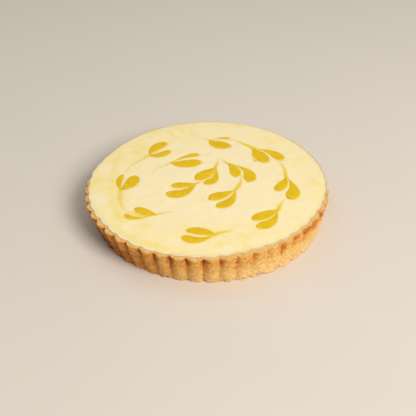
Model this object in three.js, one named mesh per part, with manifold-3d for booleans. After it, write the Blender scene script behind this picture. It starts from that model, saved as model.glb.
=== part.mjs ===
// Cheesecake tart: a fluted shortcrust shell, baked cheesecake filled up to and partly over its rim,
// and drops of fruit sauce drawn into hearts in the top of the filling.
// Millimetres, +Z up, origin at the middle of the flat base, the front towards -Y.
// Angles are measured round the axis from the front, positive towards +X (the right).

import * as THREE from "three";
import { mergeVertices } from "three/addons/utils/BufferGeometryUtils.js";
import Module from "manifold-3d";

const wasm = await Module();
wasm.setup();

// ---- Driving dimensions: the shell ----
const TIP_RADIUS = 115; // crest of a flute at the rim, a 230 mm tart tin
const FLUTES = 50;
const FIRST_NOTCH = THREE.MathUtils.degToRad(-88.6); // one groove between two flutes
const FLUTE_DEPTH = 3.2; // crest to groove at the rim
const FOOT_FLUTE_SHARE = 0.55; // what is left of that depth at the foot
const RIM_HEIGHT = 29.1; // at the front
const RIM_BACK_DROP = 1.9; // the rim is this much lower at the back
const BACK_BLEND = [0.05, 0.6]; // cosine of the angle from the back, between which it drops
const RIM_EASE = 0.9; // rounding of the rim's outer edge
const FOOT_EASE = 1.3; // rounding of the foot
const FOOT_EASE_SHARE = 0.04; // share of the height that the rounding takes
const RIM_WIDTH = 4.6; // groove to the inner edge of the rim
const INNER_WAVE = 0.8; // the inner edge follows the flutes by this much
const BASE_THICKNESS = 4.5;
const INNER_LEAN_SHARE = 0.55; // the inner wall leans by this share of the outer one
const INNER_FOOT = 3; // chamfer between the base and the inner wall
const WALL_WOBBLE = 0.35; // unevenness of the hand-pressed wall
const RIM_WOBBLE = 0.25;
const RIM_PHASE = 1.3; // so that the rim's unevenness differs from the wall's
const WALL_PHASE = 4;
// Waves that make up the unevenness: count round the tart, strength, phase rate.
const WOBBLE_WAVES = [
  [3, 0.5, 1],
  [7, 0.3, 2.1],
  [17, 0.2, 0.7],
];

// The worn stretch of the wall at the front right: it bulges at the foot and its flutes are faint.
const WORN_ANGLE = THREE.MathUtils.degToRad(36);
const WORN_SPREAD = THREE.MathUtils.degToRad(24);
const WORN_BULGE = 3.2;
const WORN_FLUTE_LOSS = 0.6;

// How much further in the grooves stand at the foot: angle in degrees, distance.
const WALL_LEAN = [
  [-150, 5.8],
  [-110, 8],
  [-70, 7.8],
  [-35, 7.2],
  [-8, 6.1],
  [20, 5.8],
  [45, 5.4],
  [65, 4.3],
  [80, 4.6],
  [100, 5.8],
];

// Where the shell has drawn in from the tin's circle: angle in degrees, distance. The filling's edge
// then stands flush with the crests of the flutes, or past them.
const DRAWN_IN = [
  [-143, 0],
  [-128, 1.8],
  [-118, 3.6],
  [-108, 4.2],
  [-101, 3.4],
  [-95, 1.4],
  [-88, 0],
  [76, 0],
  [80, 0.8],
  [85, 2.4],
  [92, 2.8],
  [101, 2.6],
  [112, 1.6],
  [127, 0],
];

// ---- Driving dimensions: the filling ----
const FILLING_TOP = 30.2;
const EDGE_EASE_IN = 1.1; // rounding of the filling's edge, inwards
const EDGE_EASE_DOWN = 0.5; // and downwards
const FLAT_RADIUS = 97; // the middle of the top is level
const EDGE_DIP = 0.15; // the top falls this much towards its edge
const EDGE_WAVE = 0.9; // the filling's edge follows the flutes by this much at the sides
const EDGE_WAVE_FRONT = 0.7; // by this much more at the front, and less at the back
const EDGE_WAVE_LEAST = 0.4; // but never by less than this
const FIT_GAP = 0.3; // between neighbours that touch

// How far the filling reaches: angle in degrees, radius. It stops just past the rim's inner edge
// at the front, covers half the rim at the left and all of it at the right and the back.
const FILLING_REACH = [
  [-150, 112.2],
  [-130, 110.4],
  [-120, 109.4],
  [-110, 109.9],
  [-101, 111.2],
  [-94, 110.6],
  [-70, 110.5],
  [-58, 109.5],
  [-38, 109.9],
  [-12, 109],
  [0, 109.3],
  [16, 108.1],
  [40, 110],
  [55, 110.2],
  [75, 111.4],
  [85, 112.2],
  [110, 112.3],
  [150, 113.6],
  [180, 113.6],
];

// ---- Driving dimensions: the sauce hearts ----
const SAUCE_DEPTH = 2.2;
const SAUCE_PROUD = 0.15;
const LOBE_STEPS = 10;
const LOBE_ROUND = 0.48; // exponent that rounds a lobe's far end
const NECK_HALF = 0.7; // least half-width of the sauce near the point
const NECK_SHARE = 0.5; // share of a lobe that keeps at least that width
const TAIL_LENGTH = 6;
const TAIL_TAPER = 0.6; // share of the width that the tail loses

// Each heart: its point, the tail's heading in degrees from +X, and two lobes. A lobe runs from the
// point through its middle to its end; half is its greatest half-width and taper how slowly it opens.
const HEARTS = [
  {
    point: [-56.8, 46.7],
    tail: 220,
    lobes: [
      { middle: [-50.7, 61.3], end: [-40.4, 69.8], half: 5.8, taper: 0.9 },
      { middle: [-45.4, 47.5], end: [-36.5, 55.5], half: 4.7, taper: 0.7 },
    ],
  },
  {
    point: [-79.8, -12.8],
    tail: 268,
    lobes: [
      { middle: [-82.4, 0.5], end: [-79.9, 12.8], half: 3.1, taper: 0.9 },
      { middle: [-70.7, -1.6], end: [-69.7, 10.9], half: 6.4, taper: 0.7 },
    ],
  },
  {
    point: [-45.6, -51.9],
    tail: 14,
    lobes: [
      { middle: [-55.8, -47.4], end: [-64.1, -41], half: 4.8, taper: 0.6 },
      { middle: [-63.4, -56.4], end: [-71.9, -50], half: 2.8, taper: 1.5 },
    ],
  },
  {
    point: [-35, 31.9],
    tail: 217,
    lobes: [
      { middle: [-20.3, 42.7], end: [-6.7, 46], half: 3.4, taper: 1.5 },
      { middle: [-20.4, 29.9], end: [-5.4, 34.1], half: 6.9, taper: 0.8 },
    ],
  },
  {
    point: [3.9, 73.7],
    tail: 148,
    lobes: [
      { middle: [15.8, 77.3], end: [24.8, 76.1], half: 2.3, taper: 1.8 },
      { middle: [12, 65.1], end: [24.4, 62.7], half: 7.2, taper: 0.8 },
    ],
  },
  {
    point: [47.4, 55.9],
    tail: 133,
    lobes: [
      { middle: [51.6, 45.9], end: [58.5, 30.7], half: 7.1, taper: 1.2 },
      { middle: [64.8, 47.9], end: [73.4, 34.1], half: 5.7, taper: 1.6 },
    ],
  },
  {
    point: [74.8, 5],
    tail: 92,
    lobes: [
      { middle: [71.8, -6.8], end: [63.5, -18.1], half: 5.2, taper: 1.3 },
      { middle: [80.2, -15.8], end: [74.4, -30.3], half: 6.4, taper: 1.7 },
    ],
  },
  {
    point: [62.6, -47.7],
    tail: 64,
    lobes: [
      { middle: [52.9, -54], end: [39.1, -60.7], half: 5.7, taper: 1 },
      { middle: [55.7, -65.4], end: [42, -70.7], half: 5.4, taper: 1.4 },
    ],
  },
  {
    point: [6.1, -81.9],
    tail: 10,
    lobes: [
      { middle: [-6, -76.6], end: [-18.1, -75.2], half: 5, taper: 0.6 },
      { middle: [-9.1, -88.3], end: [-21.2, -82.2], half: 4.7, taper: 1.1 },
    ],
  },
  {
    point: [9, 23.8],
    tail: 79,
    lobes: [
      { middle: [1.9, 13.4], end: [-10.1, 3.4], half: 7, taper: 1.2 },
      { middle: [7.8, 2.8], end: [-2.6, -2.6], half: 4.7, taper: 1.5 },
    ],
  },
  {
    point: [-9.7, -4.4],
    tail: 27,
    lobes: [
      { middle: [-21.4, -6.8], end: [-32.8, -6.5], half: 4.8, taper: 1 },
      { middle: [-22.7, -19.8], end: [-36.7, -18], half: 6.2, taper: 1 },
    ],
  },
  {
    point: [19, 30.8],
    tail: 122,
    lobes: [
      { middle: [25.9, 20.6], end: [28, 5.9], half: 5.4, taper: 1.5 },
      { middle: [38.6, 15.3], end: [38.8, -2.2], half: 6.1, taper: 2 },
    ],
  },
  {
    point: [26.5, -15.6],
    tail: 64,
    lobes: [
      { middle: [15.5, -22.9], end: [1.9, -28.5], half: 5.9, taper: 1.4 },
      { middle: [20.5, -34.3], end: [8.1, -39.9], half: 5.4, taper: 1.2 },
    ],
  },
];

// ---- Resolution ----
const OUTER_STEPS = FLUTES * 6;
const INNER_STEPS = FLUTES * 3;
const WALL_LEVELS = [0.33, 0.68]; // shares of the height between foot and rim
const OVERCUT = 5; // how far cutting bodies reach past the face that they open

// ---- Materials ----
const pastry = new THREE.MeshStandardMaterial({ color: "#dba661", roughness: 0.85, metalness: 0 });
const cheesecake = new THREE.MeshStandardMaterial({ color: "#f9e6b4", roughness: 0.5, metalness: 0 });
const sauce = new THREE.MeshStandardMaterial({ color: "#deb81f", roughness: 0.25, metalness: 0 });

// ---- Shared helpers ----
const notchRadius = TIP_RADIUS - FLUTE_DEPTH;

/** Signed angle between two directions round the axis, in -PI to PI. */
function angleBetween(a, b) {
  return Math.atan2(Math.sin(a - b), Math.cos(a - b));
}

/** Slow unevenness round the tart, within -1 to 1. */
function wobble(phi, phase) {
  return WOBBLE_WAVES.reduce((sum, [count, strength, rate]) => {
    return sum + strength * Math.sin(count * phi + rate * phase);
  }, 0);
}

/** Value at an angle from a list of [degrees, value], with a smooth walk from each to the next. */
function roundTable(table, phi) {
  const degrees = THREE.MathUtils.radToDeg(angleBetween(phi, 0));
  const count = table.length;
  let k = table.findIndex(([angle]) => angle > degrees);
  if (k < 0) k = count;
  const [a0, v0] = table[(k + count - 1) % count];
  const [a1, v1] = table[k % count];
  const span = (a1 - a0 + 360) % 360;
  const share = ((degrees - a0 + 360) % 360) / span;
  return THREE.MathUtils.lerp(v0, v1, THREE.MathUtils.smoothstep(share, 0, 1));
}

/** How far the shell has drawn in from the tin's circle. */
function drawnIn(phi) {
  return roundTable(DRAWN_IN, phi);
}

/** How much further in the grooves stand at the foot. */
function wallLean(phi) {
  return roundTable(WALL_LEAN, phi);
}

/** How far the filling reaches. */
function fillingReach(phi) {
  return roundTable(FILLING_REACH, phi);
}

/** How much the filling's edge follows the flutes. */
function edgeWave(phi) {
  return Math.max(EDGE_WAVE + EDGE_WAVE_FRONT * Math.cos(phi), EDGE_WAVE_LEAST);
}

/** 0 in a groove, 1 on a crest: a round scallop with a sharp groove on each side. */
function scallop(phi) {
  return Math.abs(Math.sin(((phi - FIRST_NOTCH) * FLUTES) / 2));
}

/** 1 in the middle of the worn stretch, falling to 0 beside it. */
function wear(phi) {
  return Math.exp(-((angleBetween(phi, WORN_ANGLE) / WORN_SPREAD) ** 2));
}

/** 0 at the front and the sides, 1 at the back. */
function backShare(phi) {
  return THREE.MathUtils.smoothstep(-Math.cos(phi), ...BACK_BLEND);
}

function rimHeight(phi) {
  return RIM_HEIGHT - RIM_BACK_DROP * backShare(phi) + RIM_WOBBLE * wobble(phi, RIM_PHASE);
}

/** Outside of the shell at a share of its height, 0 at the foot and 1 at the rim. */
function outerRadius(phi, share) {
  const worn = wear(phi) * (1 - share);
  const depth = FLUTE_DEPTH * THREE.MathUtils.lerp(FOOT_FLUTE_SHARE, 1, share);
  const groove = notchRadius - drawnIn(phi) - wallLean(phi) * (1 - share) + WORN_BULGE * worn;
  const crest = depth * (1 - WORN_FLUTE_LOSS * wear(phi)) * scallop(phi);
  return groove + crest + WALL_WOBBLE * wobble(phi, WALL_PHASE * share);
}

/** Inside edge of the rim. */
function rimInnerRadius(phi) {
  return notchRadius - drawnIn(phi) - RIM_WIDTH + INNER_WAVE * (scallop(phi) - 0.5);
}

/** Closed body from a geometry: shared vertices merged, collapsed triangles dropped. */
function solidOf(geometry) {
  const bare = geometry.clone();
  bare.deleteAttribute("normal");
  bare.deleteAttribute("uv");
  const merged = mergeVertices(bare, 1e-5);
  const corners = [];
  const index = merged.index.array;
  for (let i = 0; i < index.length; i += 3) {
    const [a, b, c] = index.slice(i, i + 3);
    if (a !== b && b !== c && c !== a) corners.push(a, b, c);
  }
  return new wasm.Manifold(
    new wasm.Mesh({
      numProp: 3,
      vertProperties: new Float32Array(merged.attributes.position.array),
      triVerts: new Uint32Array(corners),
    }),
  );
}

/** Turned body whose profile may change on its way round the axis. profileAt(phi) gives
 *  [radius, height] pairs from the axis at the bottom to the axis at the top. */
function turnedSolid(profileAt, steps) {
  const rows = profileAt(0).map(([radius, height]) => new THREE.Vector2(radius, height));
  const geometry = new THREE.LatheGeometry(rows, steps);
  for (let i = 0; i <= steps; i += 1) {
    const phi = ((i % steps) / steps) * Math.PI * 2 + FIRST_NOTCH;
    profileAt(phi).forEach(([radius, height], j) => {
      const [x, y] = [radius * Math.sin(phi), -radius * Math.cos(phi)];
      geometry.attributes.position.setXYZ(i * rows.length + j, x, y, height);
    });
  }
  return solidOf(geometry);
}

/** Named mesh of a finished body. */
function meshOf(name, solid, material) {
  const { vertProperties, triVerts } = solid.getMesh();
  const geometry = new THREE.BufferGeometry();
  geometry.setAttribute("position", new THREE.BufferAttribute(vertProperties, 3));
  geometry.setIndex(new THREE.BufferAttribute(triVerts, 1));
  geometry.computeVertexNormals();
  const mesh = new THREE.Mesh(geometry, material);
  mesh.name = name;
  return mesh;
}

// ---- Crust: fluted shell with an open top ----
function innerWall(phi, gap) {
  const edge = rimInnerRadius(phi) - gap;
  const foot = edge - INNER_LEAN_SHARE * wallLean(phi);
  const floor = BASE_THICKNESS + gap;
  return [
    [0, floor],
    [foot - INNER_FOOT, floor],
    [foot, floor + INNER_FOOT],
  ];
}

function crustProfile(phi) {
  const top = rimHeight(phi);
  const wall = WALL_LEVELS.map((share) => [outerRadius(phi, share), share * top]);
  return [
    [0, 0],
    [outerRadius(phi, 0) - FOOT_EASE, 0],
    [outerRadius(phi, FOOT_EASE_SHARE), FOOT_EASE],
    ...wall,
    [outerRadius(phi, 1), top - RIM_EASE],
    [outerRadius(phi, 1) - RIM_EASE, top],
    [rimInnerRadius(phi) - RIM_WIDTH, top],
    [0, RIM_HEIGHT],
  ];
}

function hollowProfile(phi) {
  const edge = rimInnerRadius(phi);
  const lid = RIM_HEIGHT + OVERCUT;
  return [...innerWall(phi, 0), [edge, rimHeight(phi)], [edge, lid], [0, lid]];
}

function makeCrust() {
  const block = turnedSolid(crustProfile, OUTER_STEPS);
  const hollow = turnedSolid(hollowProfile, INNER_STEPS);
  return meshOf("crust", block.subtract(hollow), pastry);
}

// ---- Filling: fills the shell and laps over its rim ----
function fillingProfile(phi) {
  const seat = rimHeight(phi) + FIT_GAP;
  const edge = fillingReach(phi) + edgeWave(phi) * (scallop(phi) - 0.5);
  return [
    ...innerWall(phi, FIT_GAP),
    [rimInnerRadius(phi) - FIT_GAP, seat],
    [edge, seat],
    [edge, FILLING_TOP - EDGE_EASE_DOWN],
    [edge - EDGE_EASE_IN, FILLING_TOP - EDGE_DIP],
    [FLAT_RADIUS, FILLING_TOP],
    [0, FILLING_TOP],
  ];
}

/** Half-width of a lobe at a share of the way from the point to its end. */
function lobeHalfWidth(lobe, share) {
  const widest = lobe.taper / (lobe.taper + LOBE_ROUND);
  const opening = (share / widest) ** lobe.taper;
  const closing = ((1 - share) / (1 - widest)) ** LOBE_ROUND;
  const half = lobe.half * opening * closing;
  return share < NECK_SHARE ? Math.max(half, NECK_HALF) : half;
}

/** Flat outline along a spine, with half-widths from halfAt and an extra margin all round. */
function ribbonShape(spine, halfAt, steps, margin) {
  const left = [];
  const right = [];
  for (let i = 0; i <= steps; i += 1) {
    const share = Math.sin(((i / steps) * Math.PI) / 2);
    const along = spine.getTangent(share);
    const side = new THREE.Vector2(-along.y, along.x);
    const centre = spine.getPoint(share);
    if (i === 0) centre.addScaledVector(along, -margin);
    if (i === steps) centre.addScaledVector(along, margin);
    const half = halfAt(share) + margin;
    left.push(centre.clone().addScaledVector(side, half));
    if (half > 0) right.unshift(centre.clone().addScaledVector(side, -half));
  }
  return new THREE.Shape([...right, ...left]);
}

function plate(shape, bottom, top) {
  const geometry = new THREE.ExtrudeGeometry(shape, { depth: top - bottom, bevelEnabled: false });
  return solidOf(geometry.translate(0, 0, bottom));
}

/** One heart between two heights, with a margin all round: two lobes and the start of the tail. */
function heartSolid(heart, margin, bottom, top) {
  const point = new THREE.Vector2(...heart.point);
  const lobes = heart.lobes.map((lobe) => {
    const end = new THREE.Vector2(...lobe.end);
    const pull = new THREE.Vector2(...lobe.middle).multiplyScalar(2);
    pull.addScaledVector(point, -0.5).addScaledVector(end, -0.5);
    const spine = new THREE.QuadraticBezierCurve(point, pull, end);
    const lobeHalf = (share) => lobeHalfWidth(lobe, share);
    return plate(ribbonShape(spine, lobeHalf, LOBE_STEPS, margin), bottom, top);
  });
  const heading = THREE.MathUtils.degToRad(heart.tail);
  const away = new THREE.Vector2(Math.cos(heading), Math.sin(heading));
  const start = point.clone().addScaledVector(away, -NECK_HALF);
  const tailSpine = new THREE.LineCurve(start, point.clone().addScaledVector(away, TAIL_LENGTH));
  const tailHalf = (share) => NECK_HALF * (1 - TAIL_TAPER * share);
  const tail = plate(ribbonShape(tailSpine, tailHalf, 1, margin), bottom, top);
  return lobes[0].add(lobes[1]).add(tail);
}

function makeFilling() {
  let body = turnedSolid(fillingProfile, INNER_STEPS);
  for (const heart of HEARTS) {
    const floor = FILLING_TOP - SAUCE_DEPTH - FIT_GAP;
    body = body.subtract(heartSolid(heart, FIT_GAP, floor, FILLING_TOP + OVERCUT));
  }
  return meshOf("filling", body, cheesecake);
}

function makeHeart(heart, number) {
  const name = `sauce_heart_${String(number).padStart(2, "0")}`;
  const solid = heartSolid(heart, 0, FILLING_TOP - SAUCE_DEPTH, FILLING_TOP + SAUCE_PROUD);
  return meshOf(name, solid, sauce);
}

const tart = new THREE.Group();
tart.name = "cheesecake_tart";
tart.add(makeCrust());
tart.add(makeFilling());
HEARTS.forEach((heart, i) => tart.add(makeHeart(heart, i + 1)));

export default tart;
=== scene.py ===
"""Looks of the cheesecake tart: fluted shortcrust shell, baked cheesecake and sauce hearts.

Shapes are worked out in millimetres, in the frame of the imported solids: origin under the middle
of the base, +Z up, the front towards -Y. Angles run round the axis from the front, positive
towards +X. Meshes are turned into metres as they are stored.
"""

import logging
import math
import random
from collections.abc import Sequence
from dataclasses import dataclass
from enum import Enum

import bmesh
import bpy
import numpy as np
from mathutils import Matrix, Vector, noise

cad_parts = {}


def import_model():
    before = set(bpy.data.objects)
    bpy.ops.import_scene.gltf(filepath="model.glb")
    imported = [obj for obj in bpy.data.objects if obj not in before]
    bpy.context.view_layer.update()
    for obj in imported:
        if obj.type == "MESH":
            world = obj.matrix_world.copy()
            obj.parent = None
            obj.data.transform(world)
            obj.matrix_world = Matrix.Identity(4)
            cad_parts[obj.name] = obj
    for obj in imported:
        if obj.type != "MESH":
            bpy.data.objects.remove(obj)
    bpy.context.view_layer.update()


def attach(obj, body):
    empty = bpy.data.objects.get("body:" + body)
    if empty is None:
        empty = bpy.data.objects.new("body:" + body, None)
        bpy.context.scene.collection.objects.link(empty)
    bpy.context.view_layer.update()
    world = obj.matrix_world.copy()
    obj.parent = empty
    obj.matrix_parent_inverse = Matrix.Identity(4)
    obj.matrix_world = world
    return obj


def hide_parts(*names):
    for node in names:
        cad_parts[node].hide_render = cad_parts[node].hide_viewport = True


LOG = logging.getLogger("tart")
MM = 0.001
WELD = 0.002  # millimetres between places of a turned body that are one
FINE_WELD = 0.0001  # the same for a thin sheet of sauce
NOISE_GAIN = 1.6  # stretches noise to about -1 to 1
CLOUD_SHIFT = (13.7, 7.1, 3.3)  # how far one step of a cloud's seed moves the noise
HOLE_SHIFT = 5.3  # the same for scattered pits

Array = np.ndarray
Material = bpy.types.Material
Mesh = bpy.types.Mesh
Piece = bpy.types.Object
Socket = bpy.types.NodeSocket
Colour = tuple[float, float, float]  # red, green and blue, 0 to 255
Point = tuple[float, float]  # place in plan, or any pair of numbers
Path = Sequence[Point]  # corners of a line, or angles with their values
Place = tuple[float, float, float]
Row = tuple[Array, Array]  # radius and height at every angle
Inputs = dict[str | int, object]  # value of a node's input, or the socket that feeds it
Spot = tuple[float, float, float, float]  # place in plan, radius and strength
Stroke = tuple[Point, Point, float, float]  # start and end in plan, half-width and strength


class Slot(Enum):
    """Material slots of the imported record."""

    PASTRY = "pastry"
    CHEESECAKE = "cheesecake"
    SAUCE = "fruit_sauce"


class Side(Enum):
    """Stretch of the shell's profile that a row belongs to, in the order of the rows."""

    UNDERSIDE = 0
    WALL = 1
    RIM = 2
    INSIDE = 3


class Painted(Enum):
    """Numbers painted on the vertices, which the materials read."""

    BAKE_AND_SHADE = "bake"
    TRACE = "trace"
    YELLOWING = "yellowing"
    EDGING = "edging"
    SELVAGE_HIGHLIGHT = "selvage_highlight"
    SHADED_BRIM = "shaded_brim"
    FLECK = "fleck"
    SHALLOW_AND_HIGHLIGHT = "shallow_and_highlight"


# ---------------------------------------------------------------- small mathematics


def smooth_share(value: Array | float, low: Array | float, high: Array | float) -> Array:
    """Rise smoothly from 0 at low to 1 at high.

    Args:
        value: Numbers to rate.
        low: Where the rise starts.
        high: Where it ends.

    Returns:
        The share of each number, 0 to 1.
    """
    share = np.clip((np.asarray(value, float) - low) / (high - low), 0.0, 1.0)
    return share * share * (3.0 - 2.0 * share)


def turn_between(a: Array | float, b: float) -> Array:
    """Signed angle from b to a, within half a turn."""
    return np.arctan2(np.sin(a - b), np.cos(a - b))


def bell(value: Array, width: Array | float) -> Array:
    """Bell curve: 1 at 0, near 0 past twice the width."""
    return np.exp(-((value / width) ** 2))


def band(value: Array, middle: float, spread: float) -> Array:
    """1 at the middle of a band, falling to 0 on both sides."""
    return bell(value - middle, spread)


def lifted(plan: Array) -> Array:
    """Points in plan as points in space, at height 0."""
    return np.pad(plan, ((0, 0), (0, 1)))


def cloud(places: Array, size: float, octaves: int, seed: float) -> Array:
    """Smooth noise at each place.

    Args:
        places: Points in millimetres, one per line.
        size: Size of the largest lumps, in millimetres.
        octaves: Layers of finer lumps, each half the size and strength.
        seed: Shift that makes one cloud differ from another.

    Returns:
        One number per point, about -1 to 1.
    """
    shift = seed * np.array(CLOUD_SHIFT)
    total = np.zeros(len(places))
    for octave in range(octaves):
        fine = 2.0**octave
        scaled = places * (fine / size) + shift
        total += [noise.noise(p) / fine for p in scaled.tolist()]
    return total * NOISE_GAIN


def holes(places: Array, spacing: float, radius: float, seed: float, floor: float = 0.2) -> Array:
    """Round pits scattered in space.

    Args:
        places: Points in millimetres, one per line.
        spacing: Distance between pits.
        radius: Radius of a pit as a share of the spacing.
        seed: Shift that makes one scatter differ from another.
        floor: Share of the radius over which a pit is full deep.

    Returns:
        0 outside the pits, rising to 1 at the middle of each.
    """
    scaled = places / spacing + seed * HOLE_SHIFT
    nearest = np.array([noise.voronoi(p)[0][0] for p in scaled.tolist()])
    return 1.0 - smooth_share(nearest, floor * radius, radius)


def by_angle(stations: Path, phi: Array) -> Array:
    """Read values given at a few angles, with a smooth walk from each to the next.

    Args:
        stations: Angles in degrees, rising from -180 to 180, each with its value.
        phi: Angles to read them at, in radians.

    Returns:
        The value at each angle.
    """
    angles, values = np.array(stations, float).T
    degrees = np.degrees(turn_between(phi, 0.0))
    after = np.searchsorted(angles, degrees, side="right")
    before = (after - 1) % len(angles)
    after = after % len(angles)
    span = (angles[after] - angles[before]) % 360
    share = smooth_share(((degrees - angles[before]) % 360) / span, 0.0, 1.0)
    return values[before] + (values[after] - values[before]) * share


def distance_to_path(plan: Array, path: Path) -> tuple[Array, Array]:
    """Measure how far points are from a drawn line.

    Args:
        plan: Points in plan, in millimetres.
        path: Corners of the line.

    Returns:
        The distance of each point, and how far along the line its nearest place is, 0 to 1.
    """
    corners = np.array(path, float)
    spans = np.diff(corners, axis=0)
    lengths = np.linalg.norm(spans, axis=1)
    starts = np.concatenate([[0.0], np.cumsum(lengths)])
    best = np.full(len(plan), np.inf)
    along = np.zeros(len(plan))
    for corner, span, length, start in zip(corners, spans, lengths, starts):
        share = np.clip((plan - corner) @ span / length**2, 0.0, 1.0)
        gap = np.linalg.norm(plan - corner - share[:, None] * span, axis=1)
        nearer = gap < best
        best = np.where(nearer, gap, best)
        along = np.where(nearer, (start + share * length) / starts[-1], along)
    return best, along


def rounded_path(corners: Path, pieces: int = 6) -> Path:
    """Turn a few corners into a smooth line through them.

    Args:
        corners: Places that the line passes, at least two.
        pieces: Short straights between one corner and the next.

    Returns:
        The points of the smooth line.
    """
    ends = [np.array(c, float) for c in corners]
    padded = [2 * ends[0] - ends[1], *ends, 2 * ends[-1] - ends[-2]]
    line = []
    for before, a, b, after in zip(padded, padded[1:], padded[2:], padded[3:]):
        for k in range(pieces):
            t = k / pieces
            pull = (b - before) * t + (2 * before - 5 * a + 4 * b - after) * t**2
            pull = pull + (3 * a - before - 3 * b + after) * t**3
            line.append(tuple(a + 0.5 * pull))
    line.append(tuple(ends[-1]))
    return line


def across_line(along: Array) -> Array:
    """Unit directions across a line, from its directions along it."""
    along = along / np.linalg.norm(along, axis=1)[:, None]
    return np.stack([-along[:, 1], along[:, 0]], axis=1)


def soft_line(
    plan: Array, path: Path, half: Array | float, taper: float = 0.0, fade: float = 0.0
) -> Array:
    """Draw a line with soft sides.

    Args:
        plan: Points in plan, in millimetres.
        path: Corners of the line.
        half: Half-width where the line starts.
        taper: Share of the width that is gone at its end.
        fade: Power by which it fades out towards its end, 0 for a line that doesn't.

    Returns:
        1 on the line, falling to 0 beside it.
    """
    gap, along = distance_to_path(plan, path)
    return bell(gap, half * (1 - taper * along)) * (1 - along) ** fade


def soft_spot(plan: Array, place: Point, half: Array | float) -> Array:
    """Draw a round spot with a soft edge: 1 at its place, falling to 0 round it."""
    return bell(np.linalg.norm(plan - np.array(place), axis=1), half)


@dataclass(frozen=True)
class Stretch:
    """Stretch of the tart round one angle, which fades out on both sides."""

    degrees: float
    spread: float

    def share(self, phi: Array) -> Array:
        """1 in the middle of the stretch, falling to 0 beside it."""
        return bell(turn_between(phi, math.radians(self.degrees)), self.spread)


# ---------------------------------------------------------------- shapes of shell and filling


@dataclass(frozen=True)
class ShellForm:
    """Sizes of the fluted shell in millimetres, and the surfaces that they give."""

    tip_radius: float = 115.0
    flutes: int = 50
    first_notch: float = math.radians(-88.6)
    flute_depth: float = 3.2
    foot_flute_share: float = 0.55
    rim_height: float = 29.1
    rim_back_drop: float = 1.9
    rim_back_rise: Point = (0.05, 0.6)
    rim_ease: float = 0.6
    foot_ease: float = 0.9
    rim_width: float = 4.6
    inner_wave: float = 0.8
    base_thickness: float = 4.5
    inner_lean_share: float = 0.55
    inner_foot: float = 3.0
    wall_wobble: float = 0.35
    rim_wobble: float = 0.25
    waves: tuple[Place, ...] = ((3, 0.5, 1.0), (7, 0.3, 2.1), (17, 0.2, 0.7))  # count, height, lag
    worn: Stretch = Stretch(36.0, math.radians(24.0))
    worn_bulge: float = 3.2
    worn_flute_loss: float = 0.6
    wall_lean: Path = (
        (-150, 5.8), (-110, 8.0), (-70, 7.8), (-35, 7.2), (-8, 6.1),
        (20, 5.8), (45, 5.4), (65, 4.3), (80, 4.6), (100, 5.8),
    )
    drawn_in: Path = (
        (-143, 0), (-128, 1.8), (-118, 3.6), (-108, 4.2), (-101, 3.4), (-95, 1.4), (-88, 0),
        (76, 0), (80, 0.8), (85, 2.4), (92, 2.8), (101, 2.6), (112, 1.6), (127, 0),
    )

    @property
    def notch_radius(self) -> float:
        """Radius at the bottom of the grooves, at the rim."""
        return self.tip_radius - self.flute_depth

    def wobble(self, phi: Array, phase: float) -> Array:
        """Slow unevenness round the tart, within -1 to 1."""
        return sum(height * np.sin(count * phi + lag * phase) for count, height, lag in self.waves)

    def scallop(self, phi: Array) -> Array:
        """0 in a groove and 1 on a crest, with sharp grooves."""
        return np.abs(np.sin((phi - self.first_notch) * self.flutes / 2))

    def rim_top(self, phi: Array) -> Array:
        """Height of the rim."""
        drop = self.rim_back_drop * smooth_share(-np.cos(phi), *self.rim_back_rise)
        return self.rim_height - drop + self.rim_wobble * self.wobble(phi, phase=1.3)

    def outer_radius(self, phi: Array, share: float) -> Array:
        """Outside of the wall.

        Args:
            phi: Angles round the axis.
            share: Share of the wall's height, 0 at the foot.

        Returns:
            Radii in millimetres.
        """
        worn = self.worn.share(phi)
        lean = by_angle(self.wall_lean, phi) * (1 - share) + by_angle(self.drawn_in, phi)
        depth = self.flute_depth * (self.foot_flute_share + (1 - self.foot_flute_share) * share)
        groove = self.notch_radius - lean + self.worn_bulge * worn * (1 - share)
        crest = depth * (1 - self.worn_flute_loss * worn) * self.scallop(phi)
        return groove + crest + self.wall_wobble * self.wobble(phi, phase=4 * share)

    def rim_inner_radius(self, phi: Array) -> Array:
        """Inside edge of the rim."""
        middle = self.notch_radius - by_angle(self.drawn_in, phi) - self.rim_width
        return middle + self.inner_wave * (self.scallop(phi) - 0.5)

    def inner_rows(self, phi: Array, gap: float) -> list[Row]:
        """Floor and wall inside the shell, from the middle out.

        Args:
            phi: Angles round the axis.
            gap: How far the rows stand off the pastry.

        Returns:
            Radius and height of three rows at every angle.
        """
        edge = self.rim_inner_radius(phi) - gap
        floor = np.full_like(phi, self.base_thickness + gap)
        foot = edge - self.inner_lean_share * by_angle(self.wall_lean, phi)
        middle = (np.zeros_like(phi), floor)
        return [middle, (foot - self.inner_foot, floor), (foot, floor + self.inner_foot)]


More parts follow.
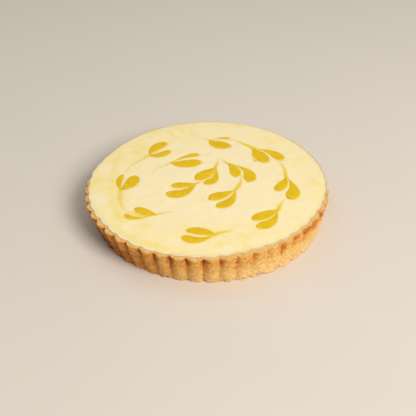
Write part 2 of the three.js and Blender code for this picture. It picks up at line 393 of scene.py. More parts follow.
@dataclass(frozen=True)
class FillingForm:
    """Sizes of the filling in millimetres, and its reach over the rim."""

    top: float = 30.2
    ease_in: float = 1.0
    ease_down: float = 0.6
    least_lap: float = 0.5
    flat_radius: float = 97.0
    edge_dip: float = 0.15
    seat_sink: float = 0.6
    edge_wave: float = 0.9
    edge_wave_front: float = 0.7
    edge_wave_least: float = 0.4
    reach: Path = (
        (-150, 112.2), (-130, 110.4), (-120, 109.4), (-110, 109.9), (-101, 111.2),
        (-94, 110.6), (-70, 110.5), (-58, 109.5), (-38, 109.9), (-12, 109.0),
        (0, 109.3), (16, 108.1), (40, 110.0), (55, 110.2), (75, 111.4),
        (85, 112.2), (110, 112.3), (150, 113.6), (180, 113.6),
    )

    def edge_radius(self, phi: Array, shell: ShellForm) -> Array:
        """Radius of the filling's edge at each angle.

        Args:
            phi: Angles round the axis.
            shell: Shell whose flutes the edge follows a little.

        Returns:
            Radii in millimetres.
        """
        wave = np.maximum(self.edge_wave + self.edge_wave_front * np.cos(phi), self.edge_wave_least)
        radius = by_angle(self.reach, phi) + wave * (shell.scallop(phi) - 0.5)
        return np.maximum(radius, shell.rim_inner_radius(phi) + self.least_lap)


@dataclass(frozen=True)
class Lobe:
    """One half of a sauce heart: a drop drawn out from the heart's point."""

    middle: Point
    end: Point
    half: float
    taper: float
    rounding: float = 0.48
    neck_half: float = 0.7

    def width_at(self, share: Array) -> Array:
        """Half-width of the lobe.

        Args:
            share: Shares of the way from the heart's point to the lobe's end.

        Returns:
            Half-widths in millimetres.
        """
        widest = self.taper / (self.taper + self.rounding)
        opening = (share / widest) ** self.taper
        closing = (np.clip(1 - share, 0, 1) / (1 - widest)) ** self.rounding
        half = self.half * opening * closing
        return np.where(share < 0.5, np.maximum(half, self.neck_half), half)

    def spine(self, point: Point, share: Array) -> tuple[Array, Array]:
        """Middle line of the lobe.

        Args:
            point: Point of the heart, where the lobe starts.
            share: Shares of the way to the end.

        Returns:
            Places on the line, and the unit direction across it at each.
        """
        start, middle, end = (np.array(p, float) for p in (point, self.middle, self.end))
        pull = 2 * middle - (start + end) / 2
        t = share[:, None]
        places = (1 - t) ** 2 * start + 2 * t * (1 - t) * pull + t**2 * end
        return places, across_line(2 * (1 - t) * (pull - start) + 2 * t * (end - pull))


@dataclass(frozen=True)
class Heart:
    """One sauce heart: its point, its two lobes and the tail that fades out behind it."""

    number: int
    point: Point
    lobes: tuple[Lobe, Lobe]
    tail: Path
    tail_strength: float = 0.8
    tail_half: float = 1.5
    streak: float = 0.35
    seam: Path = ()
    # Places of pale dots on the sauce: thinner sauce over air pockets, and painted highlight on them.
    bubble_highlights: Path = ()
    nibs: Path = ()
    reach: float = 40.0
    stations: int = 41

    @property
    def node(self) -> str:
        """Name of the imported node."""
        return f"sauce_heart_{self.number:02d}"

    @property
    def tail_corners(self) -> Path:
        """Corners of the tail, from the heart's point."""
        return (self.point, *self.tail)

    @property
    def middle_corners(self) -> Path:
        """Corners of the line from the heart's point between its lobes."""
        middles = np.mean([(lobe.middle, lobe.end) for lobe in self.lobes], axis=0)
        return (self.point, *(tuple(place) for place in middles))

    def outline_depth(self, plan: Array) -> Array:
        """How deep points in plan lie inside the heart, negative outside.

        Args:
            plan: Points in plan, in millimetres.

        Returns:
            Depth in millimetres, the larger of the two lobes'.
        """
        share = np.linspace(0, 1, self.stations)
        depth = np.full(len(plan), -np.inf)
        near = np.linalg.norm(plan - np.array(self.lobes[0].middle), axis=1) < self.reach
        inner = depth[near]
        for lobe in self.lobes:
            spine, _ = lobe.spine(self.point, share)
            for centre, width in zip(spine, lobe.width_at(share)):
                inner = np.maximum(inner, width - np.linalg.norm(plan[near] - centre, axis=1))
        depth[near] = inner
        return depth


HEARTS = (
    Heart(
        1, (-56.8, 46.7),
        (Lobe((-50.7, 61.3), (-40.4, 69.8), 5.8, 0.9), Lobe((-45.4, 47.5), (-36.5, 55.5), 4.7, 0.7)),
        tail=((-60, 43.2), (-66, 37), (-72.5, 28.7), (-76, 22), (-77.6, 13)),
        tail_strength=0.72, tail_half=2.2,
    ),
    Heart(
        2, (-79.8, -12.8),
        (Lobe((-82.4, 0.5), (-79.9, 12.8), 3.1, 0.9), Lobe((-70.7, -1.6), (-69.7, 10.9), 6.4, 0.7)),
        tail=((-79.6, -25), (-77.6, -34), (-73.4, -44), (-67.5, -50.6), (-60, -54.5)),
        tail_half=2.4,
        bubble_highlights=((-75.5, -3.5), (-75, -6)),
    ),
    Heart(
        3, (-45.6, -51.9),
        (Lobe((-55.8, -47.4), (-64.1, -41), 4.8, 0.6), Lobe((-63.4, -56.4), (-71.9, -50), 2.8, 1.5)),
        tail=((-41, -50.2), (-37, -49), (-28, -48)),
        tail_strength=1.0, streak=1.1,
        bubble_highlights=((-51.5, -49.6), (-50.8, -50.6)),
    ),
    Heart(
        4, (-35, 31.9),
        (Lobe((-20.3, 42.7), (-6.7, 46), 3.4, 1.5), Lobe((-20.4, 29.9), (-5.4, 34.1), 6.9, 0.8)),
        tail=((-39, 28.3), (-44, 25), (-50.6, 18.5), (-51.8, 8.4)),
        tail_strength=0.6,
    ),
    Heart(
        5, (3.9, 73.7),
        (Lobe((15.8, 77.3), (24.8, 76.1), 2.3, 1.8), Lobe((12, 65.1), (24.4, 62.7), 7.2, 0.8)),
        tail=((-1, 76.6), (-6, 78), (-15, 79)),
        tail_strength=0.5, streak=0.6,
    ),
    Heart(
        6, (47.4, 55.9),
        (Lobe((51.6, 45.9), (58.5, 30.7), 7.1, 1.2), Lobe((64.8, 47.9), (73.4, 34.1), 5.7, 1.6)),
        tail=((40, 64), (32, 70.6), (24, 74.5)),
        tail_strength=1.35, tail_half=2.4,
        nibs=((46, 40.5), (45.6, 44.5), (47.4, 52), (46.8, 36.8), (47.5, 34), (49, 32)),
    ),
    Heart(
        7, (74.8, 5),
        (Lobe((71.8, -6.8), (63.5, -18.1), 5.2, 1.3), Lobe((80.2, -15.8), (74.4, -30.3), 6.4, 1.7)),
        tail=((75.4, 15), (73.6, 24), (69, 32.5)),
        tail_strength=1.3, tail_half=1.9,
        nibs=((67.6, -3.6), (82.2, -9.5)),
    ),
    Heart(
        8, (62.6, -47.7),
        (Lobe((52.9, -54), (39.1, -60.7), 5.7, 1), Lobe((55.7, -65.4), (42, -70.7), 5.4, 1.4)),
        tail=((64.6, -43), (67.5, -37), (70.5, -32)),
        tail_strength=1.25, tail_half=2.2, streak=0.75,
    ),
    Heart(
        9, (6.1, -81.9),
        (Lobe((-6, -76.6), (-18.1, -75.2), 5, 0.6), Lobe((-9.1, -88.3), (-21.2, -82.2), 4.7, 1.1)),
        tail=((10, -79.8), (15, -78), (23, -75)),
        tail_strength=1.2, tail_half=2.3,
    ),
    Heart(
        10, (9, 23.8),
        (Lobe((1.9, 13.4), (-10.1, 3.4), 7, 1.2), Lobe((7.8, 2.8), (-2.6, -2.6), 4.7, 1.5)),
        tail=((11, 31.5), (12, 41)),
        tail_strength=1.25, streak=1.1,
        bubble_highlights=((1.5, 12.2), (2.2, 11)),
        seam=((8, 18), (4.6, 9.5), (0, 3.5), (-5, -1)),
    ),
    Heart(
        11, (-9.7, -4.4),
        (Lobe((-21.4, -6.8), (-32.8, -6.5), 4.8, 1), Lobe((-22.7, -19.8), (-36.7, -18), 6.2, 1)),
        tail=((-6.5, -2.6), (-3, -1)),
        tail_strength=1.1, tail_half=2.2, streak=0.6,
    ),
    Heart(
        12, (19, 30.8),
        (Lobe((25.9, 20.6), (28, 5.9), 5.4, 1.5), Lobe((38.6, 15.3), (38.8, -2.2), 6.1, 2)),
        tail=((17.2, 34), (15.6, 38)),
        tail_strength=0.6,
    ),
    Heart(
        13, (26.5, -15.6),
        (Lobe((15.5, -22.9), (1.9, -28.5), 5.9, 1.4), Lobe((20.5, -34.3), (8.1, -39.9), 5.4, 1.2)),
        tail=((30.6, -8), (33, 1), (33.2, 11.5)),
        tail_strength=1.35, tail_half=2.0, streak=0.6,
    ),
)


# ---------------------------------------------------------------- materials


def tint(colour: Colour) -> tuple[float, float, float, float]:
    """Turn a screen colour into the linear colour that shaders take, by the sRGB curve.

    Args:
        colour: Red, green and blue, 0 to 255.

    Returns:
        Red, green and blue, linear and 0 to 1, and full cover.
    """
    parts = [c / 255 for c in colour]
    linear = [c / 12.92 if c <= 0.04045 else ((c + 0.055) / 1.055) ** 2.4 for c in parts]
    return (*linear, 1.0)


class Recipe:
    """Node tree of one material, built a step at a time."""

    mix_inputs: tuple[int, int, int] = (0, 6, 7)  # cover, colour below and colour on top
    mix_result: int = 2

    def __init__(self, name: str) -> None:
        """Start a material with one Principled surface.

        Args:
            name: Name of the material.
        """
        self.material = bpy.data.materials.new(name)
        self.material.use_nodes = True
        self.tree = self.material.node_tree
        self.tree.nodes.clear()
        self.surface = self.add("ShaderNodeBsdfPrincipled")
        self.add("ShaderNodeOutputMaterial", {"Surface": self.surface.outputs[0]})
        self.place = self.add("ShaderNodeTexCoord").outputs["Object"]

    def add(self, kind: str, inputs: Inputs | None = None, **settings: object) -> bpy.types.Node:
        """Add a node.

        Args:
            kind: Type of the node.
            inputs: Name or number of each socket to fill, with a value or the socket that feeds it.
            settings: Properties of the node.

        Returns:
            The new node.
        """
        node = self.tree.nodes.new(kind)
        for key, value in settings.items():
            setattr(node, key, value)
        self.feed(node, inputs or {})
        return node

    def feed(self, node: bpy.types.Node, inputs: Inputs) -> None:
        """Fill a node's sockets.

        Args:
            node: Node to fill.
            inputs: Name or number of each socket, with a value or the socket that feeds it.
        """
        for key, value in inputs.items():
            if isinstance(value, Socket):
                self.tree.links.new(value, node.inputs[key])
            else:
                node.inputs[key].default_value = value

    def painted(self, name: Painted) -> Socket:
        """Read a number painted on the mesh."""
        return self.add("ShaderNodeAttribute", attribute_name=name.value).outputs["Fac"]

    def grain(self, size: float, detail: float = 2.0, roughness: float = 0.5) -> Socket:
        """Noise in space.

        Args:
            size: Size of the largest lumps, in millimetres.
            detail: Layers of finer lumps.
            roughness: Strength of each layer against the one before.

        Returns:
            Socket with the noise, about 0 to 1.
        """
        inputs = {"Vector": self.place, "Scale": 1 / (size * MM)}
        inputs |= {"Detail": detail, "Roughness": roughness}
        return self.add("ShaderNodeTexNoise", inputs).outputs[0]

    def span(self, value: Socket, between: Point, ends: Point) -> Socket:
        """Map a range of numbers smoothly onto another.

        Args:
            value: Socket to map.
            between: Start and end of its range.
            ends: Results at the start and at the end.

        Returns:
            Socket with the mapped number.
        """
        inputs = dict(enumerate((value, *between, *ends)))
        return self.add("ShaderNodeMapRange", inputs, interpolation_type="SMOOTHSTEP").outputs[0]

    def patches(
        self,
        ends: Point,
        size: float,
        detail: float = 2.0,
        roughness: float = 0.5,
        between: Point = (0.3, 0.7),
    ) -> Socket:
        """Number that wanders from one value to another in soft patches.

        Args:
            ends: The two values.
            size: Size of the largest patches, in millimetres.
            detail: Layers of finer patches.
            roughness: Strength of each layer against the one before.
            between: Range of the noise over which the value changes.

        Returns:
            Socket with the number.
        """
        return self.span(self.grain(size, detail, roughness), between, ends)

    def dots(self, spacing: float, between: Point, strength: float) -> Socket:
        """Scattered soft dots.

        Args:
            spacing: Millimetres between dots.
            between: Radii of a dot's full middle and of its end, as shares of the spacing.
            strength: Number at a dot's middle.

        Returns:
            Socket with the number, 0 between the dots.
        """
        inputs = {"Vector": self.place, "Scale": 1 / (spacing * MM)}
        nearest = self.add("ShaderNodeTexVoronoi", inputs).outputs["Distance"]
        return self.span(nearest, between, (strength, 0.0))

    def math(self, operation: str, *values: Socket | float) -> Socket:
        """Join numbers by an operation such as ADD or MULTIPLY.

        Args:
            operation: Name of the operation.
            values: Numbers to join, from the first to the last.

        Returns:
            Socket with the result.
        """
        result, *others = values
        for other in others:
            result = self.add("ShaderNodeMath", {0: result, 1: other}, operation=operation).outputs[0]
        return result

    def coats(self, ground: Colour, *coats: tuple[Socket, Colour]) -> Socket:
        """Lay colours over one another.

        Args:
            ground: Screen colour under all of them.
            coats: Socket with the cover of each, 0 to 1, and its screen colour.

        Returns:
            Socket with the mixed colour.
        """
        mixed = tint(ground)
        for cover, colour in coats:
            inputs = dict(zip(self.mix_inputs, (cover, mixed, tint(colour))))
            mixed = self.add("ShaderNodeMix", inputs, data_type="RGBA").outputs[self.mix_result]
        return mixed

    def ramp(self, value: Socket, places: tuple[float, ...], colours: tuple[Colour, ...]) -> Socket:
        """Colour a number by a ramp.

        Args:
            value: Socket with the number, 0 to 1.
            places: Places on the ramp.
            colours: Screen colour at each place.

        Returns:
            Socket with the colour.
        """
        node = self.add("ShaderNodeValToRGB", {0: value})
        elements = node.color_ramp.elements
        while len(elements) < len(places):
            elements.new(0.5)
        for element, place, colour in zip(elements, places, colours):
            element.position = place
            element.color = tint(colour)
        return node.outputs[0]

    def relief(self, height: Socket, depth: float, below: Socket | None = None) -> Socket:
        """Bend the surface's normals by a height.

        Args:
            height: Socket with the height, 0 to 1.
            depth: What a height of 1 is worth, in millimetres.
            below: Normals of a coarser relief that this one lies on.

        Returns:
            Socket with the bent normals.
        """
        inputs = {"Distance": depth * MM, "Height": height}
        if below is not None:
            inputs["Normal"] = below
        return self.add("ShaderNodeBump", inputs).outputs[0]

    def finish(self, **sockets: object) -> Material:
        """Set the surface's sockets, with underscores for spaces, and return the material."""
        self.feed(self.surface, {name.replace("_", " "): value for name, value in sockets.items()})
        return self.material


@dataclass(frozen=True)
class BakedPastry:
    """Shortcrust, pale where it is pressed smooth and brown where it stood free in the oven."""

    # The darker colours of this ramp also serve for the crust's painted shade.
    pale: Colour = (230, 193, 131)
    golden: Colour = (222, 172, 92)
    browned: Colour = (206, 138, 58)
    dark: Colour = (172, 94, 30)
    burnt: Colour = (118, 58, 16)
    steps: tuple[float, ...] = (0.0, 0.28, 0.52, 0.78, 1.0)
    mottle: float = 0.13
    crumb: float = 0.1
    speck: float = 0.18
    roughness: Point = (0.7, 0.88)
    shine: float = 0.3

    def material(self) -> Material:
        """Build the material, which reads how brown the pastry is baked, with its painted shade.

        Returns:
            The material.
        """
        r = Recipe("baked_pastry")
        mottle = r.patches((-self.mottle, self.mottle), size=3.2, detail=4, roughness=0.55)
        crumb = r.patches((-self.crumb, self.crumb), size=1.1, detail=3, roughness=0.6)
        speck = r.dots(spacing=2.2, between=(0.08, 0.26), strength=self.speck)
        # The painted number holds how brown the crust is baked together with its painted shade.
        tone = r.math("ADD", r.painted(Painted.BAKE_AND_SHADE), mottle, crumb, speck)
        colours = (self.pale, self.golden, self.browned, self.dark, self.burnt)
        coarse = r.relief(r.grain(size=1.5, detail=4, roughness=0.6), depth=0.36)
        return r.finish(
            Base_Color=r.ramp(tone, self.steps, colours),
            Roughness=r.patches(self.roughness, size=1.8),
            Normal=r.relief(r.grain(size=0.4, roughness=0.6), depth=0.1, below=coarse),
            Specular_IOR_Level=self.shine,
        )


@dataclass(frozen=True)
class BakedCheesecake:
    """Smooth baked cream, warm in the middle, yellower and a little greener to the edge."""

    middle: Colour = (253, 235, 189)
    yellow: Colour = (251, 227, 136)
    edge: Colour = (243, 224, 168)
    stain: Colour = (237, 205, 28)
    bruise: Colour = (210, 162, 60)
    # Pale line at the front-left edge: the cream's own unyellowed side, and painted highlight on its
    # rounded edge.
    skin: Colour = (253, 240, 212)
    # Painted shade along the rounded outer edge of the cream.
    shaded_brim: Colour = (190, 165, 112)
    mottle: float = 0.12
    speck: float = 0.35
    roughness: Point = (0.4, 0.56)
    shine: float = 0.35
    glow: float = 0.12
    glow_depth: float = 4.0
    glow_radius: Place = (1.0, 0.75, 0.4)

    def material(self) -> Material:
        """Build the material, which reads the numbers painted on the filling.

        Returns:
            The material.
        """
        r = Recipe("baked_cheesecake")
        drift = r.patches((0.6, 1.2), size=17, detail=5, roughness=0.62, between=(0.4, 0.66))
        mottle = r.patches((0.0, self.mottle), size=5, detail=3, roughness=0.6, between=(0.35, 0.7))
        specks = r.dots(spacing=9, between=(0.03, 0.085), strength=self.speck)
        sparse = r.patches((0.0, 1.0), size=24, detail=1, between=(0.5, 0.62))
        blemish = r.math("MAXIMUM", r.painted(Painted.FLECK), r.math("MULTIPLY", specks, sparse))
        colour = r.coats(
            self.middle,
            (r.math("MULTIPLY", r.painted(Painted.YELLOWING), drift), self.yellow),
            (r.painted(Painted.EDGING), self.edge),
            (mottle, self.yellow),
            # Painted shade along the outer edge, then the pale front-left line, partly painted
            # highlight.
            (r.painted(Painted.SHADED_BRIM), self.shaded_brim),
            (r.painted(Painted.SELVAGE_HIGHLIGHT), self.skin),
            (r.painted(Painted.TRACE), self.stain),
            (blemish, self.bruise),
        )
        soft = r.relief(r.grain(size=9), depth=0.5)
        skin = r.relief(r.grain(size=1.6, detail=3, roughness=0.55), depth=0.07, below=soft)
        return r.finish(
            Base_Color=colour,
            Roughness=r.patches(self.roughness, size=6, detail=3),
            Normal=r.relief(r.math("SUBTRACT", 1.0, blemish), depth=0.3, below=skin),
            Specular_IOR_Level=self.shine,
            Subsurface_Weight=self.glow,
            Subsurface_Radius=self.glow_radius,
            Subsurface_Scale=self.glow_depth * MM,
        )


@dataclass(frozen=True)
class FruitSauce:
    """Smooth yellow fruit sauce, deeper in colour where it lies thick."""

    thick: Colour = (226, 184, 12)
    body: Colour = (234, 194, 18)
    # Paler sauce where it lies thinly; it and the strength below also paint pale dots on air pockets,
    # partly as highlight.
    thin_and_highlight: Colour = (242, 212, 60)
    bubble_highlight: float = 0.3
    roughness: Point = (0.28, 0.44)
    shine: float = 0.22

    def material(self) -> Material:
        """Build the material, which reads where the sauce lies thinly, and its pale dots, partly
        painted highlight.

        Returns:
            The material.
        """
        r = Recipe("fruit_sauce")
        swirl = r.patches((0.0, 1.0), size=7, detail=3, roughness=0.55, between=(0.35, 0.68))
        # Scattered pale dots on air pockets, partly painted highlight.
        dots = r.dots(spacing=3.4, between=(0.05, 0.13), strength=self.bubble_highlight)
        sparse = r.patches((0.0, 1.0), size=13, detail=1, between=(0.58, 0.66))
        bubble_highlights = r.math("MULTIPLY", dots, sparse)
        shallow_and_highlight = r.painted(Painted.SHALLOW_AND_HIGHLIGHT)
        colour = r.coats(self.thick, (swirl, self.body), (shallow_and_highlight, self.thin_and_highlight), (bubble_highlights, self.thin_and_highlight))
        ripple = r.relief(r.grain(size=5.5), depth=0.06)
        return r.finish(
            Base_Color=colour,
            Roughness=r.patches(self.roughness, size=4),
            Normal=r.relief(bubble_highlights, depth=0.08, below=ripple),
            Specular_IOR_Level=self.shine,
        )


@dataclass(frozen=True)
class PaleFloor:
    """Matt painted studio floor."""

    colour: Colour = (222, 213, 200)
    cloudy: Colour = (200, 196, 190)
    clouds: float = 0.05
    roughness: float = 0.9
    shine: float = 0.2

    def material(self) -> Material:
        """Build the material.

        Returns:
            The material.
        """
        r = Recipe("studio_floor")
        colour = r.coats(self.colour, (r.patches((0.0, self.clouds), size=90), self.cloudy))
        return r.finish(Base_Color=colour, Roughness=self.roughness, Specular_IOR_Level=self.shine)


# ---------------------------------------------------------------- meshes


def stored(bm: bmesh.types.BMesh, name: str) -> Piece:
    """Turn a bmesh into an object at the origin and free the bmesh.

    Args:
        bm: Shape to store, in the units that the mesh keeps.
        name: Name of the piece.

    Returns:
        The new object, linked to the scene.
    """
    mesh = bpy.data.meshes.new(name)
    bm.to_mesh(mesh)
    bm.free()
    piece = bpy.data.objects.new(name, mesh)
    bpy.context.scene.collection.objects.link(piece)
    return piece


def places_of(mesh: Mesh, what: str = "co") -> Array:
    """Read a vector of every vertex.

    Args:
        mesh: Mesh to read.
        what: Name of the vector: co for the place, normal for the normal.

    Returns:
        The vectors, one per line.
    """
    values = np.zeros(len(mesh.vertices) * 3)
    mesh.vertices.foreach_get(what, values)
    return values.reshape(-1, 3)


def set_places(mesh: Mesh, places: Array) -> None:
    """Move all the vertices."""
    mesh.vertices.foreach_set("co", places.ravel())
    mesh.update()


def paint(mesh: Mesh, name: Painted, values: Array) -> None:
    """Paint a number on every vertex, for the materials to read."""
    layer = mesh.attributes.new(name.value, "FLOAT", "POINT")
    layer.data.foreach_set("value", values.astype(np.float32))


def dress(piece: Piece, material: Material) -> None:
    """Give a piece smooth faces and one material, in place of any that it has.

    Args:
        piece: The piece.
        material: Its finish.
    """
    piece.data.materials.clear()
    piece.data.materials.append(material)
    piece.data.shade_smooth()


def joined(parts: list[Piece], name: str) -> Piece:
    """Join closed bodies into one.

    Args:
        parts: Bodies that overlap. The first becomes the piece, and the others go.
        name: Name of the piece.

    Returns:
        The piece.
    """
    piece, *others = parts
    for part in others:
        join = piece.modifiers.new("join", "BOOLEAN")
        join.operation = "UNION"
        join.solver = "EXACT"
        join.object = part
    graph = bpy.context.evaluated_depsgraph_get()
    mesh = bpy.data.meshes.new_from_object(piece.evaluated_get(graph))
    piece.modifiers.clear()
    piece.data = mesh
    piece.name = mesh.name = name
    for part in others:
        bpy.data.objects.remove(part)
    return piece


def start_profile(rows: list[Row]) -> list[Point]:
    """Radius and height of each row at its first angle."""
    return [(float(radius[0]), float(height[0])) for radius, height in rows]


def turned_body(
    name: str, profile: list[Point], sectors: int, columns: int
) -> tuple[Piece, Array, Array]:
    """Turn a profile round the axis into a closed body: one sector first, then its copies.

    Args:
        name: Name of the piece.
        profile: Radius and height of each row, from the axis to the axis, all of them different.
        sectors: Equal sectors round the axis.
        columns: Columns in each sector.

    Returns:
        The piece in millimetres, the angle of every vertex, and the row that it belongs to.
    """
    bm = bmesh.new()
    dots = [bm.verts.new((0.0, -radius, height)) for radius, height in profile]
    for a, b in zip(dots, dots[1:]):
        bm.edges.new((a, b))
    axis = {"cent": (0, 0, 0), "axis": (0, 0, 1)}
    sector = math.tau / sectors
    bmesh.ops.spin(bm, geom=bm.verts[:] + bm.edges[:], angle=sector, steps=columns, **axis)
    rest = {"angle": math.tau - sector, "steps": sectors - 1, "use_duplicate": True}
    bmesh.ops.spin(bm, geom=bm.verts[:] + bm.edges[:] + bm.faces[:], **rest, **axis)
    bmesh.ops.remove_doubles(bm, verts=bm.verts, dist=WELD)
    bmesh.ops.recalc_face_normals(bm, faces=bm.faces)
    piece = stored(bm, name)
    places = places_of(piece.data)
    phi = np.arctan2(places[:, 0], -places[:, 1])
    here = np.stack([np.hypot(places[:, 0], places[:, 1]), places[:, 2]], axis=1)
    away = here[:, None, :] - np.array(profile)[None, :, :]
    return piece, phi, np.argmin((away**2).sum(axis=2), axis=1)


def bend_rows(mesh: Mesh, phi: Array, row: Array, rows: list[Row]) -> Array:
    """Move every vertex of a turned body to its row's place at its own angle.

    Args:
        mesh: Mesh of the turned body.
        phi: Angle of every vertex.
        row: Row of every vertex.
        rows: Radius and height of each row, at every vertex's angle.

    Returns:
        The new places, in millimetres.
    """
    radius, height = np.zeros_like(phi), np.zeros_like(phi)
    for k, (row_radius, row_height) in enumerate(rows):
        mine = row == k
        radius[mine] = row_radius[mine]
        height[mine] = row_height[mine]
    places = np.stack([radius * np.sin(phi), -radius * np.cos(phi), height], axis=1)
    set_places(mesh, places)
    return places


@dataclass(frozen=True)
class BakedRelief:
    """Crags, pits and nicks of the baked crust, with heights and depths in millimetres.

    Pitted, small pitted and nicked are the two numbers of a cloud between which these set in. The
    side shares tell how much of the relief each side of the profile has.
    """

    lump: float = 0.16
    worn_lump: float = 0.3
    crag: float = 0.2
    worn_crag: float = 0.12
    foot_crag: float = 0.26
    foot_swell: float = 0.35
    foot_rise: Point = (0.02, 0.16)
    pit: float = 0.75
    small_pit: float = 0.35
    nick: float = 0.9
    worn_pits: float = 0.9
    pitted: Point = (0.25, 0.8)
    small_pitted: Point = (0.1, 0.6)
    nicked: Point = (0.35, 0.8)
    nick_stretch: Place = (1.0, 1.0, 0.3)
    side_shares: tuple[float, ...] = (0.35, 1.0, 0.7, 0.0)
    small_pit_shade: float = 0.6
    nick_shade: float = 0.5

    def heights(self, places: Array, side: Array, share: Array, worn: Array) -> tuple[Array, Array]:
        """Work out how the smooth surface is roughened.

        Args:
            places: Smooth places of the vertices, in millimetres.
            side: Number of the side that every vertex is on.
            share: Share of the wall's height that every vertex lies at.
            worn: How worn the wall is at every vertex.

        Returns:
            How far each vertex moves outwards, in millimetres, and how deep in a pit it is, 0 to 1.
        """
        foot = (side == Side.WALL.value) * (1 - smooth_share(share, *self.foot_rise))
        lumps = cloud(places, size=5.5, octaves=2, seed=1.0) * (self.lump + self.worn_lump * worn)
        crag = self.crag + self.worn_crag * worn + self.foot_crag * foot
        crags = cloud(places, size=2.4, octaves=3, seed=2.0) * crag
        where = cloud(places, size=9.0, octaves=1, seed=3.0) + self.worn_pits * worn
        pits = holes(places, spacing=3.1, radius=0.42, seed=1.0) * smooth_share(where, *self.pitted)
        where = cloud(places, size=6.0, octaves=1, seed=4.0)
        small = holes(places, spacing=1.7, radius=0.4, seed=2.0)
        small = small * smooth_share(where, *self.small_pitted)
        where = cloud(places * self.nick_stretch, size=3.6, octaves=2, seed=5.0)
        nicks = foot * smooth_share(where, *self.nicked)
        out = lumps + crags + self.foot_swell * foot
        out = out - self.pit * pits - self.small_pit * small - self.nick * nicks
        # Depth in pits and nicks, where the crust is painted darker: painted shade in the hollows with
        # some browning.
        pit = np.clip(pits + self.small_pit_shade * small + self.nick_shade * nicks, 0, 1)
        side_share = np.choose(side, self.side_shares)
        return out * side_share, pit * side_share


